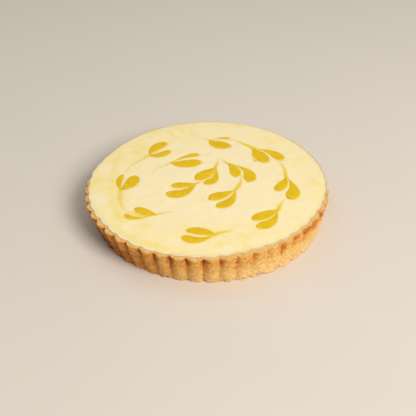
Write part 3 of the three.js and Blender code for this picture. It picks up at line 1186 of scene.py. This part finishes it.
@dataclass(frozen=True)
class BrowningAndShade:
    """How brown the oven baked the crust, plus painted shade, in shares from 0 for pale to 1 for burnt.

    A rise is the pair of shares of the wall's height at which a term starts and is full. A band is
    the height share of a term's middle, and its spread. Calm is the stretch at the right where the
    colour is even. Lee is the left-hand side of every flute, which is turned from the light and
    painted in shade. The band just under the rim's edge, the low wall on the left and the tops of
    the grooves under the rim are painted shade too; the rest of the grooves and the pits are
    mildly browned and painted in shade both.
    """

    calm: Stretch = Stretch(72.0, 0.7)
    right: Stretch = Stretch(54.0, 0.42)
    left: Stretch = Stretch(-80.0, 0.85)
    wall: float = 0.07
    calm_loss: float = 0.05
    upper: float = 0.28
    upper_rise: Point = (0.2, 0.85)
    upper_worn_loss: float = 0.3
    # Darker grooves: mild browning with painted shade in the hollow, and painted shadow in their tops
    # just under the rim.
    groove: float = 0.12
    groove_shadow_under_rim: float = 0.08
    groove_power: float = 1.5
    groove_calm_loss: float = 0.85
    under_rim_band: Point = (0.84, 0.24)
    under_rim_end: float = 0.97
    # Painted shade on the side of every flute that is turned from the light, strongest near the top.
    lee_start: float = 0.05
    lee_ends: Point = (0.22, 0.6)
    lee_shade: float = 0.15
    lee_rise: Point = (0.05, 0.8)
    lee_calm_loss: float = 0.7
    lee_top_shade: float = 0.2
    lee_top_band: Point = (0.88, 0.14)
    lee_top_calm_loss: float = 0.45
    right_side: float = 0.18
    high_rise: Point = (0.3, 0.75)
    # Painted shadow in a band just under the rim's edge, stronger on the left, which is turned from the
    # light.
    edge: float = 0.03
    left_rim_shadow: float = 0.24
    rim_shadow_band: Point = (0.91, 0.07)
    rim_shadow_calm_loss: float = 0.7
    # Painted shade on the low wall at the left, which faces away from the light.
    left_shade: float = 1.05
    left_shade_rise: Point = (0.25, 0.98)
    patch: float = 0.06
    worn_patch: float = 0.1
    patchy: Point = (0.1, 0.7)
    rim: float = 0.1
    left_rim: float = 0.12
    rim_mottle: float = 0.12
    underside: float = 0.3
    underside_mottle: float = 0.16
    inside: float = 0.2
    mottle: float = 0.06
    # Darker in pits and nicks: painted shade in the hollows, with some browning.
    pit: float = 0.22
    limits: Point = (0.02, 0.9)

    def lee_shade_share(self, shell: ShellForm, phi: Array, share: Array) -> Array:
        """Side of every flute just past its groove, in a wedge that widens upwards, for painted shade.

        Args:
            shell: Shell with the flutes.
            phi: Angle of every vertex.
            share: Share of the wall's height that every vertex lies at.

        Returns:
            1 just past the groove, falling to 0 before the next one.
        """
        turn = (phi - shell.first_notch) * shell.flutes / math.tau
        narrow, wide = self.lee_ends
        return 1 - smooth_share(turn - np.floor(turn), self.lee_start, narrow + (wide - narrow) * share)

    def wall_bake_and_shade(self, shell: ShellForm, places: Array, phi: Array, share: Array) -> Array:
        """How brown the wall is, with its painted shade.

        Args:
            shell: Shell with the flutes and the worn stretch.
            places: Places of the vertices, in millimetres.
            phi: Angle of every vertex.
            share: Share of the wall's height that every vertex lies at.

        Returns:
            How brown every vertex would be on the wall, with the painted shade.
        """
        worn = shell.worn.share(phi)
        calm = np.maximum(worn, self.calm.share(phi))
        left = self.left.share(phi)
        lee_shade = self.lee_shade_share(shell, phi, share)
        # Painted shadow in the top of every groove, just under the rim.
        under_rim_shadow = band(share, *self.under_rim_band) * (share < self.under_rim_end)
        groove = self.groove + self.groove_shadow_under_rim * under_rim_shadow
        groove = groove * (1 - shell.scallop(phi)) ** self.groove_power
        # Painted shadow just under the rim's edge, stronger on the left.
        edge = self.edge + self.left_rim_shadow * left
        high = smooth_share(share, *self.high_rise)
        patches = smooth_share(cloud(places, size=11.0, octaves=3, seed=6.0), *self.patchy) * high
        terms = (
            self.upper * smooth_share(share, *self.upper_rise) * (1 - self.upper_worn_loss * worn),
            # Grooves: mild browning with painted shade.
            groove * (1 - self.groove_calm_loss * calm),
            # Painted shade on the side of every flute turned from the light.
            self.lee_shade * lee_shade * smooth_share(share, *self.lee_rise) * (1 - self.lee_calm_loss * calm),
            self.lee_top_shade * lee_shade * band(share, *self.lee_top_band) * (1 - self.lee_top_calm_loss * calm),
            self.right_side * self.right.share(phi) * high,
            # Painted shadow under the rim's edge.
            edge * band(share, *self.rim_shadow_band) * (1 - self.rim_shadow_calm_loss * calm),
            # Painted shade on the low wall at the left.
            self.left_shade * left * (1 - smooth_share(share, *self.left_shade_rise)),
            patches * (self.patch + self.worn_patch * worn),
        )
        return self.wall - self.calm_loss * calm + sum(terms)

    def bake(self, shell: ShellForm, places: Array, phi: Array, side: Array, pit: Array) -> Array:
        """How brown the crust is at each vertex, with its painted shade.

        Args:
            shell: Shell with the flutes and the worn stretch.
            places: Places of the vertices, in millimetres.
            phi: Angle of every vertex.
            side: Number of the side that every vertex is on.
            pit: How deep in a pit every vertex is.

        Returns:
            0 for pale to 1 for burnt, painted shade counted as brown.
        """
        share = np.clip(places[:, 2] / shell.rim_height, 0, 1)
        rim = self.rim + self.left_rim * self.left.share(phi)
        kinds = (
            self.underside + self.underside_mottle * cloud(places, size=26.0, octaves=3, seed=8.0),
            self.wall_bake_and_shade(shell, places, phi, share),
            rim + self.rim_mottle * cloud(places, size=3.0, octaves=2, seed=7.0),
            np.full_like(share, self.inside),
        )
        bake = np.choose(side, kinds) + self.mottle * cloud(places, size=7.0, octaves=2, seed=9.0)
        # Darker in pits and nicks: painted shade in the hollows, with some browning.
        return np.clip(bake + self.pit * pit, *self.limits)


@dataclass(frozen=True)
class FlutedCrust:
    """Shell of shortcrust pastry, with the loose crumbs on it."""

    shell: ShellForm = ShellForm()
    relief: BakedRelief = BakedRelief()
    browning_and_shade: BrowningAndShade = BrowningAndShade()
    columns_per_flute: int = 20
    notch_pull: float = 0.4
    underside_rows: int = 14
    underside_crowding: float = 0.7
    wall_rows: int = 40
    wall_crowding: float = 0.2
    rim_rows: int = 9
    crown: float = 0.12
    crown_fall: float = 0.25
    clearance: float = 0.05
    headroom: float = 0.45
    crumbs: int = 420
    crumb_seed: int = 41
    crumb_sizes: Point = (0.28, 0.62)
    crumb_tones: Point = (0.1, 0.5)
    crumb_squash: tuple[Point, ...] = ((0.8, 1.3), (0.7, 1.1), (0.6, 1.0))
    foot_crumbs: Point = (0.03, 0.2)
    foot_crumb_growth: float = 1.15
    wall_crumbs: Point = (0.1, 0.98)
    rim_crumbs: Point = (0.3, 3.0)
    crumb_lift: float = 0.05

    def wall_point(self, phi: Array, share: float) -> Row:
        """Outside of the wall, with its foot and its top edge rounded.

        Args:
            phi: Angles round the axis.
            share: Share of the wall's height, 0 at the foot and 1 at the rim.

        Returns:
            Radius and height at every angle.
        """
        s = self.shell
        top = s.rim_top(phi)
        height = share * top
        radius = s.outer_radius(phi, share)
        foot = np.clip(1 - height / s.foot_ease, 0, 1)
        edge = np.clip(1 - (top - height) / s.rim_ease, 0, 1)
        radius = radius - s.foot_ease * (1 - np.sqrt(1 - foot**2))
        return radius - s.rim_ease * (1 - np.sqrt(1 - edge**2)), height

    def rows(self, phi: Array) -> tuple[list[Row], list[Side]]:
        """Profile of the shell at each angle, from under the middle round to the floor inside.

        Args:
            phi: Angles round the axis.

        Returns:
            Radius and height of every row, and the side that each belongs to.
        """
        s = self.shell
        base_edge = s.outer_radius(phi, 0.0) - s.foot_ease
        outward = (np.arange(self.underside_rows) / self.underside_rows) ** self.underside_crowding
        underside = [(base_edge * share, np.zeros_like(phi)) for share in outward]
        upward = np.linspace(0.0, 1.0, self.wall_rows)
        upward = upward - self.wall_crowding * np.sin(math.tau * upward) / math.tau
        wall = [self.wall_point(phi, share) for share in upward]
        outer = s.outer_radius(phi, 1.0) - s.rim_ease
        inner = s.rim_inner_radius(phi)
        rim = []
        for t in np.linspace(0.0, 1.0, self.rim_rows)[1:]:
            crown = self.crown * math.sin(math.pi * t) - self.crown_fall * t**4
            rim.append((outer + (inner - outer) * t, s.rim_top(phi) + crown))
        inside = s.inner_rows(phi, 0.0)[::-1]
        parts = (underside, wall, rim, inside)
        sides = [side for side, part in zip(Side, parts) for _ in part]
        return [row for part in parts for row in part], sides

    def build(self, material: Material) -> Piece:
        """Build the shell.

        Args:
            material: Finish of the pastry.

        Returns:
            The piece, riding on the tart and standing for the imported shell.
        """
        s = self.shell
        profile = start_profile(self.rows(np.zeros(1))[0])
        piece, phi, row = turned_body("crust_pastry", profile, s.flutes, self.columns_per_flute)
        turn = phi / math.tau * s.flutes
        part = turn - np.floor(turn)
        part = part - self.notch_pull * np.sin(math.tau * part) / math.tau
        phi = (np.floor(turn) + part) * math.tau / s.flutes + s.first_notch
        rows, sides = self.rows(phi)
        side = np.array([kind.value for kind in sides])[row]
        places = bend_rows(piece.data, phi, row, rows)
        share, worn = places[:, 2] / s.rim_height, s.worn.share(phi)
        out, pit = self.relief.heights(places, side, share, worn)
        moved = places + places_of(piece.data, "normal") * out[:, None]
        lowest = np.where(side == Side.UNDERSIDE.value, 0.0, self.clearance)
        moved[:, 2] = np.clip(moved[:, 2], lowest, s.rim_height + self.headroom)
        on_axis = np.isin(row, (0, len(rows) - 1))
        moved[on_axis] = places[on_axis]
        # Paint how brown the crust is baked, together with its painted shade.
        paint(piece.data, Painted.BAKE_AND_SHADE, self.browning_and_shade.bake(s, places, phi, side, pit))
        set_places(piece.data, moved * MM)
        dress(piece, material)
        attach(piece, "root")
        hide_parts("crust")
        return piece

    def crumb_seat(self, dice: random.Random) -> tuple[Matrix, float]:
        """Throw one crumb on the wall, on the rim or about the foot, half sunk in the pastry.

        Args:
            dice: Source of the random draws.

        Returns:
            The crumb's place, turn and squash, and its radius in millimetres.
        """
        phi = dice.uniform(-math.pi, math.pi)
        share = dice.choice((dice.uniform(*self.foot_crumbs), dice.uniform(*self.wall_crumbs), 1.0))
        size = dice.uniform(*self.crumb_sizes)
        if share < self.foot_crumbs[1]:
            size *= self.foot_crumb_growth
        radius, height = (float(value[0]) for value in self.wall_point(np.array([phi]), share))
        if share == 1.0:
            radius, height = radius - dice.uniform(*self.rim_crumbs), height + self.crumb_lift
        centre = Vector((radius * math.sin(phi), -radius * math.cos(phi), max(height, size)))
        squash = Matrix.Diagonal((*(dice.uniform(*ends) for ends in self.crumb_squash), 1))
        turn = Matrix.Rotation(dice.uniform(0, math.tau), 4, Vector((dice.random(), dice.random(), 1)))
        return Matrix.Translation(centre) @ turn @ squash, size

    def scatter_crumbs(self, material: Material) -> Piece:
        """Scatter loose crumbs over the crust.

        Args:
            material: Finish of the pastry.

        Returns:
            The piece with all the crumbs.
        """
        dice = random.Random(self.crumb_seed)
        bm = bmesh.new()
        tones: list[float] = []
        for _ in range(self.crumbs):
            seat, size = self.crumb_seat(dice)
            made = bmesh.ops.create_icosphere(bm, subdivisions=1, radius=size, matrix=seat)
            tones += [dice.uniform(*self.crumb_tones)] * len(made["verts"])
        bmesh.ops.scale(bm, vec=(MM, MM, MM), verts=bm.verts)
        piece = stored(bm, "crust_crumbs")
        paint(piece.data, Painted.BAKE_AND_SHADE, np.array(tones))
        dress(piece, material)
        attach(piece, "root")
        return piece


@dataclass(frozen=True)
class SauceStain:
    """Sauce drawn through the cream: tails, streaks between lobes, nibs and a faint streak."""

    halo: float = 0.22
    halo_reach: float = 0.55
    raggedness: float = 0.3
    tail_taper: float = 0.55
    tail_fade: float = 0.45
    streak_half: float = 1.6
    streak_fade: float = 0.6
    nib_half: float = 1.3
    nib_strength: float = 0.95
    faint_streak: Path = ((-5.5, 45.4), (2, 44.8), (12, 44))
    faint_half: float = 1.2
    faint_strength: float = 0.22

    def share(self, plan: Array, depth: Array) -> Array:
        """How strongly the sauce has coloured the cream.

        Args:
            plan: Places in plan, in millimetres.
            depth: How deep each lies inside a heart, negative outside.

        Returns:
            0 for clean cream to 1 for the sauce's own colour.
        """
        ragged = 1 + self.raggedness * cloud(lifted(plan), size=3.5, octaves=2, seed=11.0)
        marks = [self.halo * bell(np.minimum(depth, 0.0), self.halo_reach)]
        for heart in HEARTS:
            half = heart.tail_half * ragged
            path = rounded_path(heart.tail_corners)
            tail = soft_line(plan, path, half, self.tail_taper, self.tail_fade)
            path = rounded_path(heart.middle_corners)
            streak = soft_line(plan, path, self.streak_half, fade=self.streak_fade)
            marks += [heart.tail_strength * tail, heart.streak * streak]
            for place in heart.nibs:
                marks.append(self.nib_strength * soft_spot(plan, place, self.nib_half * ragged))
        faint = soft_line(plan, rounded_path(self.faint_streak), self.faint_half, fade=1.0)
        return np.clip(np.max([*marks, self.faint_strength * faint], axis=0), 0, 1)


@dataclass(frozen=True)
class YellowClouds:
    """Yellow in the cream: little in the middle, much in the outer zone, with strokes of it."""

    heavy: Stretch = Stretch(-95.0, 1.3)
    light_side: float = 0.6
    zone_rise: Point = (50.0, 94.0)
    zone_wander: float = 14.0
    zone_yellow: float = 0.58
    zone_mean: float = 0.78
    zone_contrast: float = 0.8
    strokes: tuple[Stroke, ...] = (
        ((-27, 103), (-24, 92), 2.8, 1.2),
        ((-24, 90), (-16, 80), 2.2, 0.6),
        ((-40, 96), (-34, 84), 3.0, 1.0),
        ((-71, 40), (-62, 62), 3.4, 0.7),
        ((-69, -47), (-59, -54), 1.6, 1.2),
        ((-59, 88), (-59, 74), 2.6, 0.7),
        ((-17, 99), (-15, 90), 2.2, 0.6),
        ((62, 78), (66, 66), 2.6, 0.6),
        ((-88, 56), (-86, 42), 4.0, 0.5),
        ((-89, 42), (-89, 22), 2.6, 0.8),
        ((-89, 17), (-87, -34), 2.4, 0.9),
        ((-82, -38), (-74, -60), 3.2, 0.6),
        ((-84, -60), (-68, -80), 3.4, 0.9),
        ((-68, -84), (-42, -96), 4.0, 2.1),
        ((-38, -97), (-14, -101), 3.0, 1.0),
        ((-4, -90), (12, -94), 2.6, 0.4),
        ((14, -90), (50, -82), 4.0, 0.35),
        ((101, -7), (107, -16), 3.6, 1.0),
        ((-50, 88), (-44, 76), 2.4, 0.5),
        ((-10, -22), (-2, -32), 4.0, 0.35),
    )
    stroke_mean: float = 0.624
    stroke_contrast: float = 0.273
    whiter: tuple[Stroke, ...] = (
        ((-64, 32), (-44, 30), 6.0, 0.7),
        ((36, 48), (28, 52), 5.0, 0.6),
        ((44, 22), (52, 18), 4.5, 0.6),
        ((-40, 62), (-30, 66), 3.5, 0.6),
        ((30, 62), (34, 60), 3.0, 0.5),
        ((64, -46), (56, -44), 4.0, 0.4),
    )
    whiter_loss: float = 0.5

    def share(self, plan: Array, phi: Array) -> Array:
        """How yellow the cream is.

        Args:
            plan: Places in plan, in millimetres.
            phi: Angle of every place.

        Returns:
            0 for the middle's colour to 1 for yellow.
        """
        flat = lifted(plan)
        wander = self.zone_wander * cloud(flat, size=38.0, octaves=2, seed=12.0)
        zone = smooth_share(np.hypot(*plan.T) + wander, *self.zone_rise)
        heavy = self.light_side + (1 - self.light_side) * self.heavy.share(phi)
        uneven = self.zone_mean + self.zone_contrast * cloud(flat, size=15.0, octaves=3, seed=13.0)
        yellow = self.zone_yellow * zone * heavy * uneven
        uneven = self.stroke_mean + self.stroke_contrast * cloud(flat, size=7.0, octaves=2, seed=16.0)
        for strokes, worth in ((self.strokes, uneven), (self.whiter, -self.whiter_loss)):
            for start, end, half, strength in strokes:
                yellow = yellow + worth * strength * soft_line(plan, [start, end], half)
        return np.clip(yellow, 0, 1)


@dataclass(frozen=True)
class BakedMarks:
    """Small brown flecks in the cream, and a fine crack."""

    blemishes: tuple[Spot, ...] = (
        (-51, 99, 3.0, 0.35), (34, 103, 3.2, 0.4), (86, 68, 2.6, 0.3), (47.4, 33.5, 1.5, 0.9),
        (47.2, 36.5, 1.2, 0.6), (35.5, 33.5, 1.3, 0.3), (-70, 53.7, 2.6, 0.22),
    )
    blemish_squash: float = 1.3
    broken_rise: Point = (-0.3, 0.5)
    crack: Path = ((47.6, 34), (46.5, 31), (44, 28.7), (42, 25.5), (41, 23), (40, 21))
    crack_half: float = 0.7
    crack_strength: float = 0.24

    def share(self, plan: Array) -> Array:
        """How dark the marks are.

        Args:
            plan: Places in plan, in millimetres.

        Returns:
            0 for none to 1 for the darkest.
        """
        broken = cloud(lifted(plan), size=2.2, octaves=2, seed=14.0)
        broken = smooth_share(broken, *self.broken_rise)
        crack = self.crack_strength * soft_line(plan, self.crack, self.crack_half)
        marks = crack * (1 + broken) / 2
        squash = np.array([1.0, self.blemish_squash])
        for x, y, half, strength in self.blemishes:
            spot = soft_spot(plan * squash, np.array([x, y]) * squash, half)
            marks = np.maximum(marks, strength * spot * broken)
        return marks


@dataclass(frozen=True)
class CreamRelief:
    """Swells and ripples of the top, dishes and pockets for the sauce, and sunken marks."""

    swell: float = 0.1
    still_rise: Point = (-5.0, -1.0)
    ripples: tuple[Spot, ...] = ((45, 25, 11.0, 0.16), (56, 50, 7.0, 0.1), (84, 12, 9.0, 0.12))
    dish: float = 0.14
    dish_rise: Point = (-0.3, 0.5)
    bank: float = 0.05
    bank_band: Point = (-2.0, 1.0)
    pocket_depth: float = 1.3
    pocket_inset: float = 1.7
    mark_depth: float = 0.2

    def heights(self, plan: Array, depth: Array, marks: Array) -> Array:
        """Work out the relief of the top.

        Args:
            plan: Places in plan, in millimetres.
            depth: How deep each lies inside a heart, negative outside.
            marks: How dark a fleck each lies in.

        Returns:
            Heights over the level top, in millimetres.
        """
        flat = lifted(plan)
        swell = self.swell * cloud(flat, size=30.0, octaves=2, seed=15.0)
        wrinkle = cloud(flat, size=3.6, octaves=2, seed=17.0)
        for x, y, half, height in self.ripples:
            swell = swell + height * wrinkle * soft_spot(plan, (x, y), half)
        swell = swell * (1 - smooth_share(depth, *self.still_rise))
        bank = self.bank * band(depth, *self.bank_band)
        dish = self.dish * smooth_share(depth, *self.dish_rise)
        pocket = self.pocket_depth * (depth > self.pocket_inset)
        return swell + bank - dish - pocket - self.mark_depth * marks


@dataclass(frozen=True)
class CheesecakeFilling:
    """Baked cheesecake with its soft edge, its clouds of yellow and the traces of sauce."""

    shell: ShellForm = ShellForm()
    form: FillingForm = FillingForm()
    relief: CreamRelief = CreamRelief()
    stain: SauceStain = SauceStain()
    clouds: YellowClouds = YellowClouds()
    marks: BakedMarks = BakedMarks()
    sectors: int = 38
    columns: int = 20
    top_rows: int = 92
    lap_rows: int = 12
    ease_rows: int = 6
    gap: float = 0.1
    edge_wobble: float = 0.25
    underlap: float = 0.35
    belly: float = 0.35
    least_step: float = 0.05
    top_slack: float = 0.02
    edging: float = 0.8
    edging_rise: Point = (-6.0, -0.5)
    front_left: Stretch = Stretch(-42.0, 0.75)
    # Pale front-left line, partly painted highlight, and painted shade along the rest of the outer
    # edge.
    selvage_highlight: float = 0.7
    selvage_rise: Point = (-1.6, -0.5)
    shaded_brim: float = 0.9
    brim_rise: Point = (-1.3, -0.6)

    def rows(self, phi: Array) -> list[Row]:
        """Profile of the filling at each angle, from the floor's middle round to the top's.

        Args:
            phi: Angles round the axis.

        Returns:
            Radius and height of every row.
        """
        s, f = self.shell, self.form
        edge = f.edge_radius(phi, s) + self.edge_wobble * s.wobble(phi, phase=2.2)
        seat = s.rim_top(phi) - f.seat_sink
        inner = s.rim_inner_radius(phi) - self.gap
        rows = [*s.inner_rows(phi, self.gap), (inner, seat), (edge - self.underlap, seat)]
        for k in range(self.ease_rows + 1):
            angle = math.pi / 2 * k / self.ease_rows
            radius = edge - f.ease_in * (1 - math.cos(angle))
            height = f.top - f.edge_dip - f.ease_down * (1 - math.sin(angle))
            if k == 0:
                height = height - self.belly * (height - seat)
            rows.append((radius, np.maximum(height, seat + self.least_step)))
        for k in range(1, self.lap_rows + 1):
            t = 1 - k / self.lap_rows
            radius = f.flat_radius + (edge - f.ease_in - f.flat_radius) * t
            rows.append((radius, np.full_like(phi, f.top - f.edge_dip * t**2)))
        for k in range(1, self.top_rows + 1):
            radius = f.flat_radius * (1 - k / self.top_rows)
            rows.append((np.full_like(phi, radius), np.full_like(phi, f.top)))
        return rows

    def paint_edge(self, mesh: Mesh, plan: Array, phi: Array) -> None:
        """Paint the cream's edge: a darker zone; a pale skin at the front left, partly the cream's own
        unyellowed side and partly painted highlight; and painted shade on the rest of the outer edge.

        Args:
            mesh: Mesh of the filling.
            plan: Places of the vertices in plan, in millimetres.
            phi: Angle of every vertex.
        """
        past_edge = np.hypot(*plan.T) - self.form.edge_radius(phi, self.shell)
        front_left = self.front_left.share(phi)
        # Pale front-left line, partly painted highlight, and painted shade on the outer edge elsewhere.
        selvage_highlight = self.selvage_highlight * front_left * smooth_share(past_edge, *self.selvage_rise)
        shaded_brim = self.shaded_brim * (1 - front_left) * smooth_share(past_edge, *self.brim_rise)
        paint(mesh, Painted.EDGING, self.edging * smooth_share(past_edge, *self.edging_rise))
        paint(mesh, Painted.SELVAGE_HIGHLIGHT, selvage_highlight)
        paint(mesh, Painted.SHADED_BRIM, shaded_brim)

    def build(self, material: Material) -> Piece:
        """Build the filling.

        Args:
            material: Finish of the cheesecake.

        Returns:
            The piece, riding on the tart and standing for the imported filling.
        """
        f = self.form
        profile = start_profile(self.rows(np.zeros(1)))
        piece, phi, row = turned_body("cheesecake_filling", profile, self.sectors, self.columns)
        places = bend_rows(piece.data, phi, row, self.rows(phi))
        plan = places[:, :2]
        depth = np.max([heart.outline_depth(plan) for heart in HEARTS], axis=0)
        marks = self.marks.share(plan)
        paint(piece.data, Painted.TRACE, self.stain.share(plan, depth))
        paint(piece.data, Painted.YELLOWING, self.clouds.share(plan, phi))
        paint(piece.data, Painted.FLECK, marks)
        self.paint_edge(piece.data, plan, phi)
        on_top = places[:, 2] > f.top - f.edge_dip - self.top_slack
        places[:, 2] += on_top * self.relief.heights(plan, depth, marks)
        set_places(piece.data, places * MM)
        dress(piece, material)
        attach(piece, "root")
        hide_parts("filling")
        return piece


@dataclass(frozen=True)
class SauceDrop:
    """Sauce of one heart: two domed lobes and the start of the tail, joined into one body."""

    heart: Heart
    level: float = FillingForm.top
    proud: float = 0.15
    shoulder: float = 1.6
    edge_sink: float = 0.04
    depth: float = 1.1
    along: int = 30
    across: int = 14
    least_half: float = 0.02
    tail_reach: float = 7.0
    tail_start: float = 0.7
    tail_half: float = 0.72
    tail_end_half: float = 0.03
    tail_power: float = 0.7
    edge_shallow: float = 0.55
    edge_rise: Point = (-0.4, 1.0)
    seam_shallow: float = 0.8
    seam_half: float = 0.9
    bubble_half: float = 0.9
    crease: float = math.radians(50.0)

    def sheet(self, spine: Array, side: Array, half: Array) -> Piece:
        """Make a closed, domed body from a middle line and half-widths.

        Args:
            spine: Places on the middle line.
            side: Unit direction across it at each place.
            half: Half-width at each place.

        Returns:
            The body, in millimetres.
        """
        bm = bmesh.new()
        last = len(spine) - 1
        bmesh.ops.create_grid(bm, x_segments=last, y_segments=self.across, size=1.0)
        for vert in bm.verts:
            k = round((vert.co.x + 1) / 2 * last)
            v = math.sin(vert.co.y * math.pi / 2)
            x, y = spine[k] + side[k] * (half[k] * v)
            inner = min(half[k] * (1 - abs(v)) / self.shoulder, 1.0)
            swell = (self.proud + self.edge_sink) * (1 - (1 - inner) ** 2)
            vert.co = (x, y, self.level - self.edge_sink + swell)
        kept = bm.verts[:]
        bmesh.ops.extrude_face_region(bm, geom=bm.faces[:], use_keep_orig=True)
        for vert in kept:
            vert.co.z = self.level - self.depth
        bmesh.ops.remove_doubles(bm, verts=bm.verts, dist=FINE_WELD)
        bmesh.ops.dissolve_degenerate(bm, dist=FINE_WELD, edges=bm.edges)
        bmesh.ops.recalc_face_normals(bm, faces=bm.faces)
        return stored(bm, self.heart.node + "_part")

    def lobe_body(self, lobe: Lobe) -> Piece:
        """Make the body of one lobe.

        Args:
            lobe: The lobe.

        Returns:
            The body, in millimetres.
        """
        share = np.sin(np.linspace(0, math.pi / 2, self.along))
        spine, side = lobe.spine(self.heart.point, share)
        return self.sheet(spine, side, np.maximum(lobe.width_at(share), self.least_half))

    def tail_body(self) -> Piece:
        """Make the thick start of the tail, which thins out to nothing.

        Returns:
            The body, in millimetres.
        """
        line = np.array(rounded_path(self.heart.tail_corners, pieces=12))
        steps = np.concatenate([[0.0], np.cumsum(np.linalg.norm(np.diff(line, axis=0), axis=1))])
        reach = min(self.tail_reach, steps[-1])
        wanted = np.linspace(0.0, reach, self.along // 2)
        spine = np.stack([np.interp(wanted, steps, line[:, k]) for k in (0, 1)], axis=1)
        along = np.gradient(spine, axis=0)
        side = across_line(along)
        spine[0] = spine[0] - self.tail_start * along[0] / np.linalg.norm(along[0])
        half = self.tail_half * (1 - wanted / reach) ** self.tail_power + self.tail_end_half
        return self.sheet(spine, side, half)

    def shallows(self, plan: Array) -> Array:
        """Where the sauce thins out, at its edge and the seam between its lobes, and the pale dots of
        its air pockets, which are partly painted highlight.

        Args:
            plan: Places of the vertices in plan, in millimetres.

        Returns:
            0 for thick sauce to 1 for thinly spread sauce, and for painted highlight on air pockets.
        """
        depth = self.heart.outline_depth(plan)
        shallow_and_highlight = self.edge_shallow * (1 - smooth_share(depth, *self.edge_rise))
        if self.heart.seam:
            seam = soft_line(plan, rounded_path(self.heart.seam), self.seam_half)
            shallow_and_highlight = np.maximum(shallow_and_highlight, self.seam_shallow * seam)
        # Pale spots at the listed air pockets, partly painted highlight.
        for place in self.heart.bubble_highlights:
            shallow_and_highlight = np.maximum(shallow_and_highlight, soft_spot(plan, place, self.bubble_half))
        return shallow_and_highlight

    def build(self, material: Material) -> Piece:
        """Build the heart.

        Args:
            material: Finish of the sauce.

        Returns:
            The piece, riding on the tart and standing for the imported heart.
        """
        parts = [self.lobe_body(lobe) for lobe in self.heart.lobes] + [self.tail_body()]
        piece = joined(parts, f"heart_sauce_{self.heart.number:02d}")
        places = places_of(piece.data)
        paint(piece.data, Painted.SHALLOW_AND_HIGHLIGHT, self.shallows(places[:, :2]))
        set_places(piece.data, places * MM)
        dress(piece, material)
        piece.data.set_sharp_from_angle(angle=self.crease)
        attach(piece, "root")
        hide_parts(self.heart.node)
        return piece


# ---------------------------------------------------------------- studio


@dataclass(frozen=True)
class SoftLight:
    """Square soft box that looks at the tart."""

    name: str
    place: Place
    size: float
    power: float
    colour: tuple[float, float, float] = (1.0, 1.0, 1.0)

    def build(self) -> None:
        """Hang the light."""
        light = bpy.data.lights.new(self.name, "AREA")
        light.shape = "SQUARE"
        light.size = self.size
        light.energy = self.power
        light.color = self.colour
        lamp = bpy.data.objects.new(self.name, light)
        lamp.location = self.place
        lamp.rotation_euler = (-Vector(self.place)).to_track_quat("-Z", "Y").to_euler()
        bpy.context.scene.collection.objects.link(lamp)


@dataclass(frozen=True)
class Studio:
    """Floor, lights and camera, with their places in metres."""

    camera_place: Place = (0.0009, -0.5300, 0.3897)
    camera_right: Place = (0.9998, -0.0110, -0.0149)
    camera_up: Place = (0.0185, 0.5942, 0.8041)
    focal_length: float = 58.82
    film_width: float = 36.0
    nearest: float = 0.01
    floor_size: float = 4.0
    floor_squares: int = 8
    floor_drop: float = 0.1 * MM
    sky: tuple[float, float, float] = (1.0, 0.98, 0.95)
    sky_strength: float = 0.32
    lights: tuple[SoftLight, ...] = (
        SoftLight("window", (1.11, -1.34, 1.4), 1.0, 45.9, (1.0, 0.975, 0.94)),
        SoftLight("overhead", (-0.25, 0.5, 1.5), 1.4, 4.2),
    )

    def place_camera(self) -> None:
        """Set the camera where the photograph was taken from."""
        across = Vector(self.camera_right).normalized()
        up = Vector(self.camera_up)
        up = (up - across * up.dot(across)).normalized()
        turn = Matrix((across, up, across.cross(up))).transposed().to_4x4()
        lens = bpy.data.cameras.new("view")
        lens.lens = self.focal_length
        lens.sensor_width = self.film_width
        lens.clip_start = self.nearest
        camera = bpy.data.objects.new("view", lens)
        camera.matrix_world = Matrix.Translation(self.camera_place) @ turn
        bpy.context.scene.collection.objects.link(camera)
        bpy.context.scene.camera = camera

    def lay_floor(self) -> None:
        """Lay the pale floor, a hair under the tart."""
        bm = bmesh.new()
        squares = {"x_segments": self.floor_squares, "y_segments": self.floor_squares}
        bmesh.ops.create_grid(bm, size=self.floor_size / 2, **squares)
        bmesh.ops.translate(bm, vec=(0.0, 0.0, -self.floor_drop), verts=bm.verts)
        floor = stored(bm, "studio_floor")
        dress(floor, PaleFloor().material())

    def light_sky(self) -> None:
        """Light the room evenly from all round."""
        world = bpy.data.worlds.new("studio")
        world.use_nodes = True
        background = world.node_tree.nodes["Background"]
        background.inputs["Color"].default_value = (*self.sky, 1.0)
        background.inputs["Strength"].default_value = self.sky_strength
        bpy.context.scene.world = world

    def build(self) -> None:
        """Set up the whole studio."""
        self.place_camera()
        self.lay_floor()
        for light in self.lights:
            light.build()
        self.light_sky()
        bpy.context.scene.view_settings.view_transform = "Standard"


def main() -> None:
    """Build the tart piece by piece, then the studio, and note the sizes."""
    logging.basicConfig(level=logging.INFO, format="%(name)s: %(message)s")
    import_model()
    Studio().build()
    crust = FlutedCrust()
    pastry = BakedPastry().material()
    pieces = [crust.build(pastry), crust.scatter_crumbs(pastry)]
    pieces.append(CheesecakeFilling().build(BakedCheesecake().material()))
    sauce = FruitSauce().material()
    pieces += [SauceDrop(heart).build(sauce) for heart in HEARTS]
    for piece in pieces:
        LOG.info("%s: %d faces", piece.name, len(piece.data.polygons))


if __name__ == "__main__":
    main()
